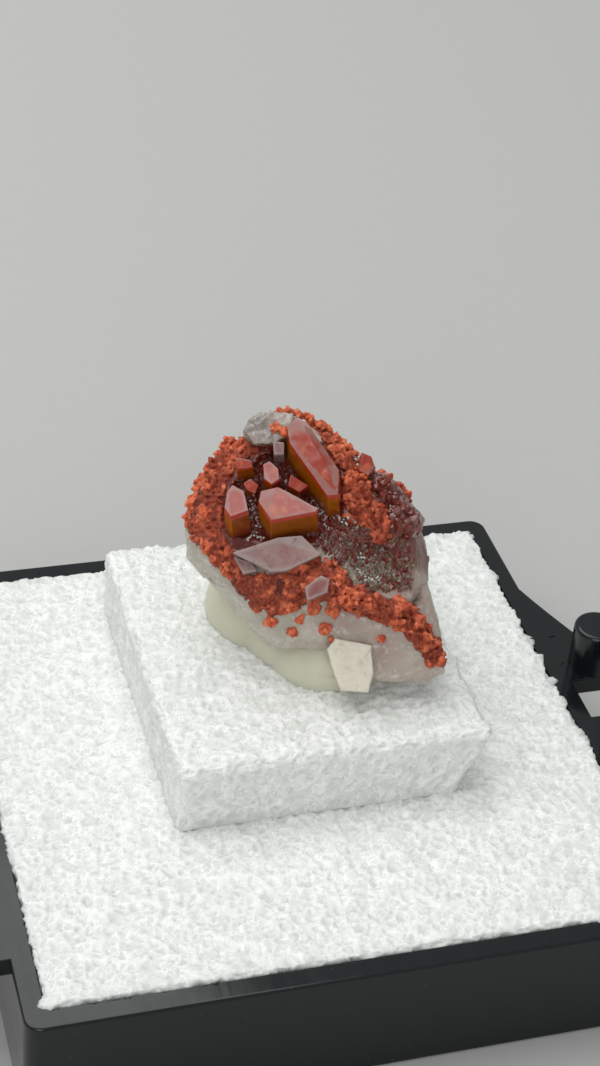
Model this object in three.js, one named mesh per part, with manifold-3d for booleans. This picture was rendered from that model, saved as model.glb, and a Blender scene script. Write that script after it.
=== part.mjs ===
// A thumbnail mineral specimen: a cluster of red hematoid quartz pressed onto putty,
// on a foam riser, in the foam-lined tray of a small black display box.
// Millimetres, +Z up. The origin is the middle of the tray's underside.

import * as THREE from "three";
import { ConvexGeometry } from "three/addons/geometries/ConvexGeometry.js";
import { mergeVertices } from "three/addons/utils/BufferGeometryUtils.js";
import Module from "manifold-3d";

const wasm = await Module();
wasm.setup();

// Tray
const TRAY_SIDE = 31.5;
const TRAY_HEIGHT = 6.3;
const TRAY_WALL = 1.0;
const TRAY_FLOOR = 1.2;
const TRAY_CORNER = 0.8;
const TRAY_BEVEL = 0.16;
const REACH = 18.45;
const RIM_THICK = 1.0;
const THUMB_LEDGE = { half: 11.6, corner: 0.6 };
const HINGE_EAR = { near: 1.4, far: 9.2, bend: [16.5, 6.9] };
const HINGE_POST = { at: [17.25, 2.6], radius: 1.2, top: 8.85, round: 0.22 };
const POST_SIDES = 16;
const NEAR = 1e-4;

// Foam
const FOAM_PIT = 0.3;
const SPECKLE_GRID = 0.02;
const LINER = { side: 29.2, shift: 0.1, top: 6.65, cell: 2.25 };
const RISER = { x: [-6.9, 8.65], y: [-5.5, 11.8], top: 10.1, undercut: 1.5, cell: 1.45 };
const LINER_SEAT = LINER.top - FOAM_PIT / 2;
const RISER_SEAT = RISER.top - FOAM_PIT / 2;

// Putty
const PUTTY_CLEARANCE = 0.3;
const PUTTY_LOBES = [
  { at: [2.5, 4.1], size: [4.3, 4.5, 3.2] },
  { at: [0.25, 5.4], size: [3.2, 3.2, 3.2] },
  { at: [2.4, 1.7], size: [3.2, 3.0, 2.6] },
  { at: [4.0, 5.5], size: [3.2, 3.4, 2.8] },
];
const PUTTY_BED = { centre: [2.0, 4.0], radius: 6.4 };

// The stone has a frame of its own. Its crystal face looks up and to the front left, and every
// measure of the stone is [across that face, up it, out of it].
const STONE_CENTRE = [1.45, 3.0, 15.6];
const STONE_TURN = THREE.MathUtils.degToRad(-18.8);
const STONE_TILT = THREE.MathUtils.degToRad(36.5);
const STONE_ROLL = THREE.MathUtils.degToRad(5.3);

const COLOURS = {
  blackPlastic: 0x101314,
  foam: 0xeef0ec,
  putty: 0xd9d6bb,
  stone: 0xb9503a,
};

// Seeded random numbers from 0 to 1, so that every build is the same.
function randomFrom(seed) {
  let state = seed;
  return () => {
    state = (state + 0x6d2b79f5) | 0;
    let t = Math.imul(state ^ (state >>> 15), 1 | state);
    t = (t + Math.imul(t ^ (t >>> 7), 61 | t)) ^ t;
    return ((t ^ (t >>> 14)) >>> 0) / 4294967296;
  };
}

// A number from 0 to 1 that depends only on a place.
function speckle(x, y, z) {
  const s = Math.sin(x * 12.9898 + y * 78.233 + z * 37.719) * 43758.5453;
  return s - Math.floor(s);
}

// Solids

function solidOf(geometry) {
  const bare = new THREE.BufferGeometry();
  const source = geometry.index ? geometry.toNonIndexed() : geometry;
  bare.setAttribute("position", source.getAttribute("position"));
  const merged = mergeVertices(bare, 1e-4);
  return new wasm.Manifold(
    new wasm.Mesh({
      numProp: 3,
      vertProperties: new Float32Array(merged.attributes.position.array),
      triVerts: new Uint32Array(merged.index.array),
    }),
  );
}

function geometryOf(solid) {
  const mesh = solid.getMesh();
  const geometry = new THREE.BufferGeometry();
  geometry.setAttribute("position", new THREE.BufferAttribute(mesh.vertProperties, 3));
  geometry.setIndex(new THREE.BufferAttribute(mesh.triVerts, 1));
  const flat = geometry.toNonIndexed();
  flat.computeVertexNormals();
  return flat;
}

function joined(solids) {
  return solids.reduce((whole, solid) => whole.add(solid));
}

function largestBody(solid) {
  return solid.decompose().sort((a, b) => b.volume() - a.volume())[0];
}

function hull(points) {
  return new ConvexGeometry(points.map((p) => new THREE.Vector3(...p)));
}

function named(name, geometry, colour, roughness) {
  const material = new THREE.MeshStandardMaterial({ color: colour, roughness, metalness: 0 });
  const mesh = new THREE.Mesh(geometry, material);
  mesh.name = name;
  return mesh;
}

// Tray

function roundedSquare(side, corner) {
  const h = side / 2;
  const shape = new THREE.Shape();
  shape.moveTo(-h + corner, -h);
  shape.lineTo(h - corner, -h);
  shape.absarc(h - corner, -h + corner, corner, -Math.PI / 2, 0);
  shape.lineTo(h, h - corner);
  shape.absarc(h - corner, h - corner, corner, 0, Math.PI / 2);
  shape.lineTo(-h + corner, h);
  shape.absarc(-h + corner, h - corner, corner, Math.PI / 2, Math.PI);
  shape.lineTo(-h, -h + corner);
  shape.absarc(-h + corner, -h + corner, corner, Math.PI, Math.PI * 1.5);
  return shape;
}

// A flat outline raised from z = low to z = high.
function slab(shape, low, high, bevel = 0) {
  const geometry = new THREE.ExtrudeGeometry(shape, {
    depth: high - low - 2 * bevel,
    bevelEnabled: bevel > 0,
    bevelThickness: bevel,
    bevelSize: bevel,
    bevelOffset: -bevel,
    bevelSegments: 1,
    curveSegments: 5,
  });
  return geometry.translate(0, 0, low + bevel);
}

// The flange that one half of the lid's hinge stands on, at y > 0 or mirrored to y < 0.
function hingeFlange(side) {
  const wall = TRAY_SIDE / 2 - TRAY_WALL / 2;
  const shape = new THREE.Shape();
  shape.moveTo(wall, HINGE_EAR.near);
  shape.lineTo(REACH, HINGE_EAR.near);
  shape.lineTo(REACH, HINGE_POST.at[1]);
  shape.quadraticCurveTo(...HINGE_EAR.bend, TRAY_SIDE / 2, HINGE_EAR.far);
  shape.lineTo(wall, HINGE_EAR.far);
  const points = shape.getPoints(6).map((p) => new THREE.Vector2(p.x, p.y * side));
  if (side < 0) points.reverse();
  return solidOf(slab(new THREE.Shape(points), TRAY_HEIGHT - RIM_THICK, TRAY_HEIGHT));
}

// The round post at the end of a hinge flange.
function hingePost(side) {
  const { at, radius, top, round } = HINGE_POST;
  const low = TRAY_HEIGHT - RIM_THICK;
  const profile = [[0, low], [radius, low], [radius, top - round], [radius - round, top], [0, top]];
  const post = new THREE.LatheGeometry(profile.map(([r, z]) => new THREE.Vector2(r, z)), POST_SIDES);
  return solidOf(post.rotateX(Math.PI / 2).translate(at[0], at[1] * side, 0));
}

function thumbLedge() {
  const wall = -(TRAY_SIDE / 2 - TRAY_WALL / 2);
  const { half, corner } = THUMB_LEDGE;
  const shape = new THREE.Shape();
  shape.moveTo(wall, half);
  shape.lineTo(-REACH + corner, half);
  shape.absarc(-REACH + corner, half - corner, corner, Math.PI / 2, Math.PI);
  shape.absarc(-REACH + corner, -half + corner, corner, Math.PI, Math.PI * 1.5);
  shape.lineTo(wall, -half);
  return solidOf(slab(shape, TRAY_HEIGHT - RIM_THICK, TRAY_HEIGHT));
}

function tray() {
  const outside = solidOf(slab(roundedSquare(TRAY_SIDE, TRAY_CORNER), 0, TRAY_HEIGHT, TRAY_BEVEL));
  const room = TRAY_SIDE - 2 * TRAY_WALL;
  const hollow = solidOf(slab(roundedSquare(room, TRAY_CORNER / 2), TRAY_FLOOR, TRAY_HEIGHT + 1));
  const hinge = [1, -1].flatMap((side) => [hingeFlange(side), hingePost(side)]);
  return geometryOf(joined([outside, ...hinge, thumbLedge()]).subtract(hollow));
}

// Foam

// Which way is inwards at a value: 1 on the low limit, -1 on the high one, 0 between them.
function inwardFrom(value, [low, high]) {
  if (Math.abs(value - low) < NEAR) return 1;
  return Math.abs(value - high) < NEAR ? -1 : 0;
}

// A block of cut foam, pitted on its top and sides. The underside stays flat, and so does the
// top where the seat test says that something stands on it. The +X side leans in by undercut.
function foamBlock({ x, y, z, cell, undercut, seat }) {
  const [width, length, height] = [x[1] - x[0], y[1] - y[0], z[1] - z[0]];
  const layers = Math.max(1, Math.round(height / cell / 1.5));
  const block = new THREE.BoxGeometry(
    width, length, height, Math.round(width / cell), Math.round(length / cell), layers,
  );
  block.translate((x[0] + x[1]) / 2, (y[0] + y[1]) / 2, (z[0] + z[1]) / 2);
  const at = block.getAttribute("position");
  for (let i = 0; i < at.count; i += 1) {
    const [px, py, pz] = [at.getX(i), at.getY(i), at.getZ(i)];
    const pit = FOAM_PIT * speckle(...[px, py, pz].map((value) => Math.round(value / SPECKLE_GRID)));
    const lean = (undercut * (z[1] - pz) * (px - x[0])) / (height * width);
    const sidePit = inwardFrom(pz, z) === 1 ? 0 : pit;
    at.setXY(i, px + inwardFrom(px, x) * sidePit - lean, py + inwardFrom(py, y) * sidePit);
    if (inwardFrom(pz, z) === -1) at.setZ(i, pz - (seat(px, py) ? FOAM_PIT / 2 : pit));
  }
  return geometryOf(solidOf(block));
}

function foamLiner() {
  const half = LINER.side / 2;
  const within = (value, [low, high]) => value > low - LINER.cell && value < high + LINER.cell;
  return foamBlock({
    x: [LINER.shift - half, LINER.shift + half],
    y: [-half, half],
    z: [TRAY_FLOOR, LINER.top],
    cell: LINER.cell,
    undercut: 0,
    seat: (px, py) => within(px, RISER.x) && within(py, RISER.y),
  });
}

function foamRiser() {
  const { centre, radius } = PUTTY_BED;
  return foamBlock({
    x: RISER.x,
    y: RISER.y,
    z: [LINER_SEAT, RISER.top],
    cell: RISER.cell,
    undercut: RISER.undercut,
    seat: (px, py) => Math.hypot(px - centre[0], py - centre[1]) < radius,
  });
}

// Stone

const across = new THREE.Vector3(Math.cos(STONE_TURN), Math.sin(STONE_TURN), 0);
const out = new THREE.Vector3(
  Math.sin(STONE_TURN) * Math.cos(STONE_TILT),
  -Math.cos(STONE_TURN) * Math.cos(STONE_TILT),
  Math.sin(STONE_TILT),
);
const up = out.clone().cross(across);
const stonePlace = new THREE.Matrix4()
  .makeBasis(across, up, out)
  .multiply(new THREE.Matrix4().makeRotationZ(STONE_ROLL))
  .setPosition(...STONE_CENTRE);

// The white quartz that everything grows from, as overlapping blocks with flat broken faces.
const MATRIX_BLOCKS = {
  main: [
    // front face
    [-5.2, -0.6, 0.6], [-3.9, -2.1, 0.9], [-2.5, -3.6, 1.1], [0.7, -4.0, 1.5],
    [-0.6, -1.3, 2.2], [1.5, -2.4, 2.3], [4.1, -3.2, 1.7], [-5.7, 2.0, -0.2],
    [-4.2, 4.8, -0.8], [-3.4, 3.0, 0.8], [-1.5, 5.9, -0.4], [0.6, 5.2, -0.3],
    [1.8, 3.6, 0.2], [3.9, 2.2, -0.2], [4.9, 0.2, 0.3], [5.0, -1.8, 0.7],
    // skyline, all the way round
    [-6.1, -0.5, -0.7], [-6.2, 0.7, -0.8], [-5.8, 2.0, -1.4], [-4.8, 4.3, -1.6],
    [-3.2, 5.7, -1.8], [-2.6, 6.2, -1.9], [-1.2, 6.6, -1.9], [0.9, 5.5, -1.8],
    [2.4, 4.3, -1.8], [4.4, 2.8, -1.7], [5.1, 1.4, -1.6], [5.6, 0.0, -1.4],
    [5.6, -1.6, -1.0], [-4.7, -1.5, -1.4], [-3.0, -3.8, -0.5], [-2.1, -4.8, 0.2], [0.5, -4.9, 0.4],
    // back
    [-3.6, 3.6, -4.3], [-1.6, 4.8, -4.5], [1.2, 4.0, -4.7], [3.4, 2.0, -4.5],
    [4.0, -0.6, -4.0], [1.0, -1.8, -4.1], [-2.6, -1.0, -3.9], [-4.2, 1.2, -3.7],
  ],
  wing: [
    [1.0, -3.0, 2.1], [4.1, -3.5, 1.8], [6.2, -5.3, 1.2], [6.3, -6.0, 0.9],
    [5.5, -6.4, 0.4], [3.2, -6.4, 0.6], [1.0, -5.0, 0.9], [1.2, -4.2, 1.6],
    [5.5, -2.5, -0.6], [5.9, -3.6, -0.3], [6.2, -4.6, 0.1],
    [4.5, -2.5, -2.8], [5.2, -4.2, -1.4], [2.0, -3.2, -2.4], [0.5, -4.5, -0.4],
  ],
  rightShoulder: [
    [5.3, -1.9, -0.4], [5.7, -2.5, -0.7], [6.1, -3.5, -0.6], [6.2, -4.4, -0.2],
    [5.6, -1.7, -1.8], [5.9, -3.4, -1.9], [4.2, -2.0, -2.6], [4.2, -3.6, -1.0],
  ],
  leftShard: [
    [-6.1, 0.2, -0.6], [-6.2, -0.5, -0.6], [-5.1, -1.1, -0.4], [-4.8, -0.4, 0.3],
    [-5.9, 0.6, -1.8], [-5.8, -0.4, -1.7], [-4.4, -0.9, -1.8], [-4.3, 0.6, -0.6],
  ],
  backLump: [
    [-2.4, 3.2, -4.1], [0.4, 3.6, -4.3], [1.6, 1.6, -4.4], [-0.2, -0.4, -4.3],
    [-2.6, 0.8, -4.0], [-1.4, 2.4, -5.3], [0.2, 2.2, -5.4], [-0.3, 0.9, -5.2],
  ],
};

// Hollows in the front face: the outline of each floor, and how much wider it is at the mouth.
// The crystals stand in the first, and the second is a shallow dish.
const HOLLOWS = [
  {
    floor: [
      [-3.5, 0.7, 0.75], [-3.8, 2.9, 0.1], [-2.4, 4.3, -0.35], [-0.9, 4.9, -0.6],
      [0.9, 4.0, -0.4], [1.3, 2.4, 0.25], [0.4, 0.8, 0.75],
    ],
    grow: 1.8,
  },
  {
    floor: [
      [2.2, 0.0, 1.0], [2.9, 0.1, 0.7], [3.6, -0.1, 0.5], [3.9, -0.9, 0.65], [3.6, -1.3, 0.85],
      [2.8, -1.2, 1.15], [2.3, -0.8, 1.2],
    ],
    grow: 4.2,
  },
];
const HOLLOW_MOUTH = 3.2;

// A flake of cream quartz that stands out of the lower edge, and how far out it reaches.
const FLAKE_OUTLINE = [
  [0.65, -4.8], [0.9, -5.7], [1.3, -6.75], [2.6, -6.8], [2.85, -5.9], [2.75, -4.6], [1.8, -4.4],
  [1.05, -4.25],
];
const FLAKE_OUT = [0.5, 1.75];

// Crystals. top is the outline of the big face, middle its height, slope how much that face
// rises [to the right, upwards], foot where its root is, and spread how much wider the root is.
const CRYSTALS = {
  long: {
    top: [
      [-1.25, 5.7], [-0.85, 6.2], [-0.3, 6.0], [0.35, 5.0],
      [1.2, 3.7], [1.15, 2.55], [0.65, 2.5], [-1.1, 5.0],
    ],
    middle: 1.45, slope: [0.05, -0.33], foot: [0.05, -1.3, -2.3], spread: 0.35,
  },
  middle: {
    top: [[-2.48, 2.7], [-1.68, 2.9], [-1.27, 2.7], [0.18, 1.9], [0.13, 1.74], [-1.98, 1.34], [-2.58, 2.2]],
    middle: 2.15, slope: [0, -0.42], foot: [0.1, -1.35, -2.0], spread: 0.12,
  },
  left: {
    top: [[-3.83, 3.0], [-3.28, 2.7], [-3.08, 1.8], [-3.88, 1.5], [-4.18, 1.9], [-4.08, 2.7]],
    middle: 1.95, slope: [0, -0.45], foot: [0.1, -1.5, -2.1], spread: 0.1,
  },
  small: {
    top: [[-2.38, 4.0], [-2.08, 4.14], [-1.68, 3.8], [-1.62, 3.3], [-1.98, 3.05], [-2.32, 3.3]],
    middle: 1.4, slope: [0, -0.4], foot: [0, -0.7, -2.0], spread: 0.12,
  },
  low: {
    top: [[-1.07, 3.5], [-0.27, 3.0], [-0.67, 2.7], [-1.19, 3.0]],
    middle: 1.2, slope: [0, -0.3], foot: [0, -0.5, -1.6], spread: 0.15,
  },
  pale: {
    top: [
      [-3.78, -0.2], [-1.68, 0.5], [-0.57, 0.6], [0.33, -0.27],
      [-0.37, -0.52], [-1.27, -1.0], [-1.98, -1.05], [-2.78, -0.62],
    ],
    middle: 2.45, slope: [0.06, -0.28], foot: [0.1, -0.3, -2.2], spread: 0.05,
  },
  clear: {
    top: [
      [-3.3, 5.65], [-3.05, 6.15], [-2.5, 6.45], [-1.7, 6.55],
      [-0.95, 6.45], [-1.25, 5.5], [-1.9, 5.0], [-2.7, 5.05],
    ],
    middle: 0.6, slope: [0.1, -0.35], foot: [0, -0.3, -2.4], spread: 0.15,
  },
  stub: {
    top: [[-1.9, 5.1], [-1.4, 5.05], [-1.42, 4.5], [-1.86, 4.5]],
    middle: 0.95, slope: [0, -0.3], foot: [0, -0.4, -1.8], spread: 0.1,
  },
  edge: {
    top: [[-3.68, 4.3], [-2.98, 4.2], [-2.88, 3.9], [-3.58, 3.8]],
    middle: 1.25, slope: [0, -0.3], foot: [0, -0.8, -1.9], spread: 0.1,
  },
  chip: {
    top: [[-3.29, 3.1], [-2.98, 3.3], [-2.62, 3.0], [-2.78, 2.6], [-3.14, 2.8]],
    middle: 1.5, slope: [0, -0.3], foot: [0, -0.3, -1.8], spread: 0.1,
  },
  inCrust: {
    top: [[-0.37, -1.8], [0.33, -1.27], [0.73, -1.42], [0.63, -2.0], [-0.27, -2.4]],
    middle: 2.95, slope: [0, -0.25], foot: [0, -0.2, -1.6], spread: 0.1,
  },
  skyline: {
    top: [[2.35, 4.6], [2.8, 4.4], [2.95, 3.95], [2.65, 3.5], [2.2, 3.75]],
    middle: 0.3, slope: [-0.2, -0.2], foot: [-0.2, -0.7, -2.0], spread: 0.2,
  },
  bulge: {
    top: [[3.95, 2.25], [4.45, 2.3], [4.95, 1.6], [4.85, 0.95], [4.15, 0.85], [3.8, 1.5]],
    middle: 0.55, slope: [-0.25, -0.2], foot: [0, -0.2, -1.6], spread: 0.5,
  },
  upperBulge: {
    top: [[2.95, 3.35], [3.45, 3.5], [4.05, 2.95], [3.95, 2.4], [3.3, 2.45]],
    middle: 0.35, slope: [-0.15, -0.25], foot: [0, -0.3, -1.6], spread: 0.5,
  },
  wedge: {
    top: [[-3.75, -0.4], [-2.9, -0.7], [-2.7, -1.05], [-3.3, -1.15]],
    middle: 1.95, slope: [0.1, -0.2], foot: [0, -0.2, -1.4], spread: 0.1,
  },
};
const CRYSTAL_BEVEL = { drop: 0.16, spread: 0.07, lean: 0.1 };

// Red crust, laid in bands over the front of the stone: thick pads, and blocky grains on them.
const CRUST_BANDS = {
  leftShoulder: [
    [-4.0, 5.5], [-3.3, 5.2], [-2.6, 4.7], [-2.6, 4.4], [-3.5, 4.2], [-4.0, 3.4], [-4.3, 2.5], [-4.3, 1.0],
    [-3.8, -0.2], [-3.2, -1.3], [-2.5, -2.4], [-2.6, -3.2], [-3.5, -2.1], [-4.7, -0.7],
    [-5.8, 0.5], [-6.2, 1.2],
    [-6.0, 2.0], [-5.4, 3.2], [-4.5, 4.5],
  ],
  middleRidge: [
    [-3.3, -1.3], [-2.3, -1.2], [-1.4, -1.05], [-0.9, -0.7], [-0.1, -0.45], [0.7, -0.5],
    [1.4, -0.9], [1.9, -1.8],
    [3.1, -2.1], [4.4, -2.4], [5.0, -3.1], [5.7, -4.2], [6.3, -5.0], [6.3, -5.6], [5.5, -5.5], [4.9, -4.8],
    [4.2, -4.0], [3.2, -3.5], [2.0, -3.0], [1.2, -2.9], [0.6, -2.5], [-0.3, -2.5], [-1.0, -3.0],
    [-2.0, -3.2], [-2.8, -2.7],
  ],
  besideLongCrystal: [
    [1.4, 4.6], [2.0, 4.6], [2.1, 3.8], [2.8, 2.7], [3.4, 2.0], [3.7, 1.2], [3.7, 0.5], [3.4, 0.15],
    [2.9, 0.3], [2.5, 0.8], [1.8, 1.1], [1.4, 1.9], [1.5, 2.9],
  ],
};
const CRUST_PAD = { step: 1.0, size: 0.5, sink: 0.25 };
const CRUST_GRAIN = { step: 0.75, size: 0.27, sink: 0.02 };
const CRUST_FACING = 0.3;

// Rows of crust along the skyline, at [across, up, out].
const SKYLINE_CRUST = [
  [
    [-4.0, 5.3, -1.1], [-4.5, 4.5, -1.1], [-5.1, 3.7, -1.0],
    [-5.6, 2.8, -0.9], [-5.95, 1.9, -0.8], [-6.1, 1.1, -0.6],
  ],
  [
    [-1.7, 6.5, -1.5], [-1.3, 6.7, -1.6], [-0.8, 6.6, -1.6],
    [0.7, 5.75, -1.6], [1.3, 5.15, -1.5], [2.0, 4.6, -1.5],
  ],
  [[3.15, 3.75, -1.3], [3.6, 3.5, -1.3], [4.0, 3.1, -1.3], [4.35, 2.8, -1.3], [4.7, 2.3, -1.2]],
];
const SKYLINE_SIZE = 0.3;

// Crust grains that stand alone, at [across, up].
const LONE_GRAINS = [
  { at: [-1.0, -3.95], size: 0.3 },
  { at: [0.0, -2.85], size: 0.36 },
  { at: [0.95, -2.9], size: 0.32 },
  { at: [0.55, -3.8], size: 0.32 },
  { at: [-2.0, -3.5], size: 0.3 },
  { at: [0.9, -4.35], size: 0.2 },
  { at: [-0.6, -3.35], size: 0.2 },
  { at: [-1.75, 5.75], size: 0.28 },
  { at: [-1.4, 5.55], size: 0.24 },
  { at: [3.2, -4.3], size: 0.2 },
];

// Tiny quartz points: on the bare slope beside the crust, and round the crystals' roots.
const DRUSE_BANDS = [
  {
    outline: [
      [1.2, 1.5], [2.0, 0.4], [3.0, -0.1], [4.0, 0.2], [4.6, 1.0], [5.2, 0.2], [5.2, -2.0], [4.6, -2.3],
      [2.6, -2.1], [1.6, -0.6], [0.6, 0.0], [0.4, 1.0],
    ],
    step: 0.72, size: 0.21,
  },
  { outline: [[2.5, 3.4], [3.4, 3.2], [4.3, 2.4], [3.6, 1.9], [2.7, 2.4]], step: 0.6, size: 0.24 },
  { outline: [[-3.0, 1.4], [-2.6, 3.6], [-1.2, 4.3], [0.4, 1.5], [-0.6, 0.9]], step: 0.75, size: 0.19 },
];

function centreOf(points) {
  return points[0].map((_, k) => points.reduce((sum, point) => sum + point[k], 0) / points.length);
}

// A crystal: its big face, a narrow bevel round it, and straight sides down to a wider root.
function crystal({ top, middle, slope, foot, spread }) {
  const [ca, cu] = centreOf(top);
  const ring = (wider, [da, du, dropped]) =>
    top.map(([a, u]) => {
      const grow = 1 + wider / Math.hypot(a - ca, u - cu);
      const height = middle + (a - ca) * slope[0] + (u - cu) * slope[1];
      return [ca + (a - ca) * grow + da, cu + (u - cu) * grow + du, height + dropped];
    });
  const { drop, spread: wider, lean } = CRYSTAL_BEVEL;
  const shoulder = [foot[0] * lean, foot[1] * lean, -drop];
  return solidOf(hull([...ring(0, [0, 0, 0]), ...ring(wider, shoulder), ...ring(spread, foot)]));
}

// A skewed block, turned at random.
function grain(centre, size, random) {
  const turn = new THREE.Quaternion().random();
  turn.set(random() - 0.5, random() - 0.5, random() - 0.5, random() - 0.5).normalize();
  const half = [0, 1, 2].map(() => size * (0.8 + 0.5 * random()));
  const corners = [];
  for (const x of [-1, 1]) {
    for (const y of [-1, 1]) {
      for (const z of [-1, 1]) {
        const jitter = () => 1 - 0.25 * random();
 
        const signs = [x, y, z];
        corners.push(new THREE.Vector3(...signs.map((sign, k) => sign * half[k] * jitter())));
      }
    }
  }
  return solidOf(new ConvexGeometry(corners.map((corner) => corner.applyQuaternion(turn).add(centre))));
}

// A six-sided point along a direction.
function quartzPoint(centre, direction, size, random) {
  const turn = new THREE.Quaternion().setFromUnitVectors(new THREE.Vector3(0, 0, 1), direction);
  const corners = [new THREE.Vector3(0, 0, size * 1.6)];
  const start = random() * Math.PI;
  for (let side = 0; side < 6; side += 1) {
    const angle = start + (side * Math.PI) / 3;
    for (const height of [-1.5, 0.4 + 0.5 * random()]) {
      corners.push(new THREE.Vector3(Math.cos(angle), Math.sin(angle), height).multiplyScalar(size));
    }
  }
  return solidOf(new ConvexGeometry(corners.map((corner) => corner.applyQuaternion(turn).add(centre))));
}

function inside([a, u], corners) {
  let within = false;
  corners.forEach(([ax, ay], i) => {
    const [bx, by] = corners[(i + 1) % corners.length];
    if (ay > u !== by > u && a < ((bx - ax) * (u - ay)) / (by - ay) + ax) within = !within;
  });
  return within;
}

// Jittered places on a grid inside an outline.
function scatter(corners, step, random) {
  const places = [];
  const low = Math.min(...corners.flat());
  const high = Math.max(...corners.flat());
  for (let a = low; a < high; a += step) {
    for (let u = low; u < high; u += step) {
      const place = [a + (random() - 0.5) * step * 0.8, u + (random() - 0.5) * step * 0.8];
      if (inside(place, corners)) places.push(place);
    }
  }
  return places;
}

// Finds the front of a solid at [across, up]: the point there and the face's normal.
function frontOf(solid) {
  const target = new THREE.Mesh(geometryOf(solid), new THREE.MeshBasicMaterial());
  const ray = new THREE.Raycaster();
  return ([a, u]) => {
    ray.set(new THREE.Vector3(a, u, 20), new THREE.Vector3(0, 0, -1));
    const hit = ray.intersectObject(target)[0];
    return hit && { point: hit.point, normal: hit.face.normal };
  };
}

function bandGrains(solid, { step, size, sink }, random) {
  const front = frontOf(solid);
  const places = Object.values(CRUST_BANDS).flatMap((corners) => scatter(corners, step, random));
  return places.flatMap((place) => {
    const hit = front(place);
    if (!hit || hit.normal.z < CRUST_FACING) return [];
    const centre = hit.point.addScaledVector(hit.normal, -sink);
    return [grain(centre, size * (0.75 + 0.5 * random()), random)];
  });
}

function skylineGrains(random) {
  return SKYLINE_CRUST.flatMap((row) => {
    const line = new THREE.CatmullRomCurve3(row.map((p) => new THREE.Vector3(...p)));
    const count = Math.round(line.getLength() / (SKYLINE_SIZE * 2));
 
    return line
      .getSpacedPoints(count)
      .map((point) => grain(point, SKYLINE_SIZE * (0.8 + 0.4 * random()), random));
  });
}

function loneGrains(solid, random) {
  const front = frontOf(solid);
  return LONE_GRAINS.map(({ at, size }) => grain(front(at).point, size, random));
}

function druse(solid, random) {
  const front = frontOf(solid);
  return DRUSE_BANDS.flatMap(({ outline, step, size }) =>
    scatter(outline, step, random).map((place) => {
      const { point, normal } = front(place);
      const lean = new THREE.Vector3(random() - 0.5, random() - 0.5, random() - 0.5);
      const direction = normal.clone().add(lean).normalize();
      return quartzPoint(point, direction, size * (0.7 + 0.6 * random()), random);
    }),
  );
}

function hollow({ floor, grow }) {
  const [ca, cu] = centreOf(floor);
  const mouth = floor.map(([a, u]) => [ca + (a - ca) * grow, cu + (u - cu) * grow, HOLLOW_MOUTH]);
  return solidOf(hull([...floor, ...mouth]));
}

function flake() {
  const outline = new THREE.Shape(FLAKE_OUTLINE.map((p) => new THREE.Vector2(...p)));
  return solidOf(slab(outline, ...FLAKE_OUT));
}

function quartzCluster() {
  const random = randomFrom(7);
  const blocks = joined(Object.values(MATRIX_BLOCKS).map((block) => solidOf(hull(block))));
  const base = HOLLOWS.map(hollow).reduce((rest, tool) => rest.subtract(tool), blocks);
  const padded = joined([base, ...bandGrains(base, CRUST_PAD, random)]);
  const crust = [
    ...bandGrains(padded, CRUST_GRAIN, random),
    ...skylineGrains(random),
    ...loneGrains(base, random),
    ...druse(base, random),
  ];
  const crystals = Object.values(CRYSTALS).map(crystal);
  return geometryOf(largestBody(joined([padded, flake(), ...crystals, ...crust])));
}

// Putty

// Every block of the matrix, a little swollen, where it stands in the tray.
function pressedShape() {
  return Object.values(MATRIX_BLOCKS).map((block) => {
    const centre = centreOf(block);
    const swollen = block.map((point) => {
      const reach = Math.hypot(...point.map((value, k) => value - centre[k]));
      return point.map((value, k) => value + ((value - centre[k]) / reach) * PUTTY_CLEARANCE);
    });
    return solidOf(hull(swollen).applyMatrix4(stonePlace));
  });
}

function putty() {
  const lobes = PUTTY_LOBES.map(({ at, size }) => {
    const ball = new THREE.SphereGeometry(1, 18, 10).rotateX(Math.PI / 2);
    return solidOf(ball.scale(...size).translate(...at, RISER.top));
  });
  const depth = 10;
  const below = new THREE.BoxGeometry(40, 40, depth).translate(0, 0, RISER_SEAT - depth / 2);
  const rest = pressedShape().reduce((clay, block) => clay.subtract(block), joined(lobes));
  return geometryOf(largestBody(rest.subtract(solidOf(below))));
}

// Assembly

const specimen = new THREE.Group();
specimen.add(named("tray", tray(), COLOURS.blackPlastic, 0.25));
specimen.add(named("foam_liner", foamLiner(), COLOURS.foam, 0.9));
specimen.add(named("foam_riser", foamRiser(), COLOURS.foam, 0.9));
specimen.add(named("putty", putty(), COLOURS.putty, 0.6));

const stone = named("quartz_cluster", quartzCluster(), COLOURS.stone, 0.5);
stone.applyMatrix4(stonePlace);
specimen.add(stone);

export default specimen;
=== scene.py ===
"""A thumbnail mineral specimen: red hematoid quartz on putty and foam in a black box base.

Sizes in the tables are millimetres, and the finished pieces are in metres, in the frame of the
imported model. The stone's tables are [across the crystal face, up it, out of it].
"""

import itertools
import math

import bmesh
import bpy
import numpy as np
from mathutils import Matrix, Quaternion, Vector
from mathutils.bvhtree import BVHTree
from mathutils.kdtree import KDTree


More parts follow.
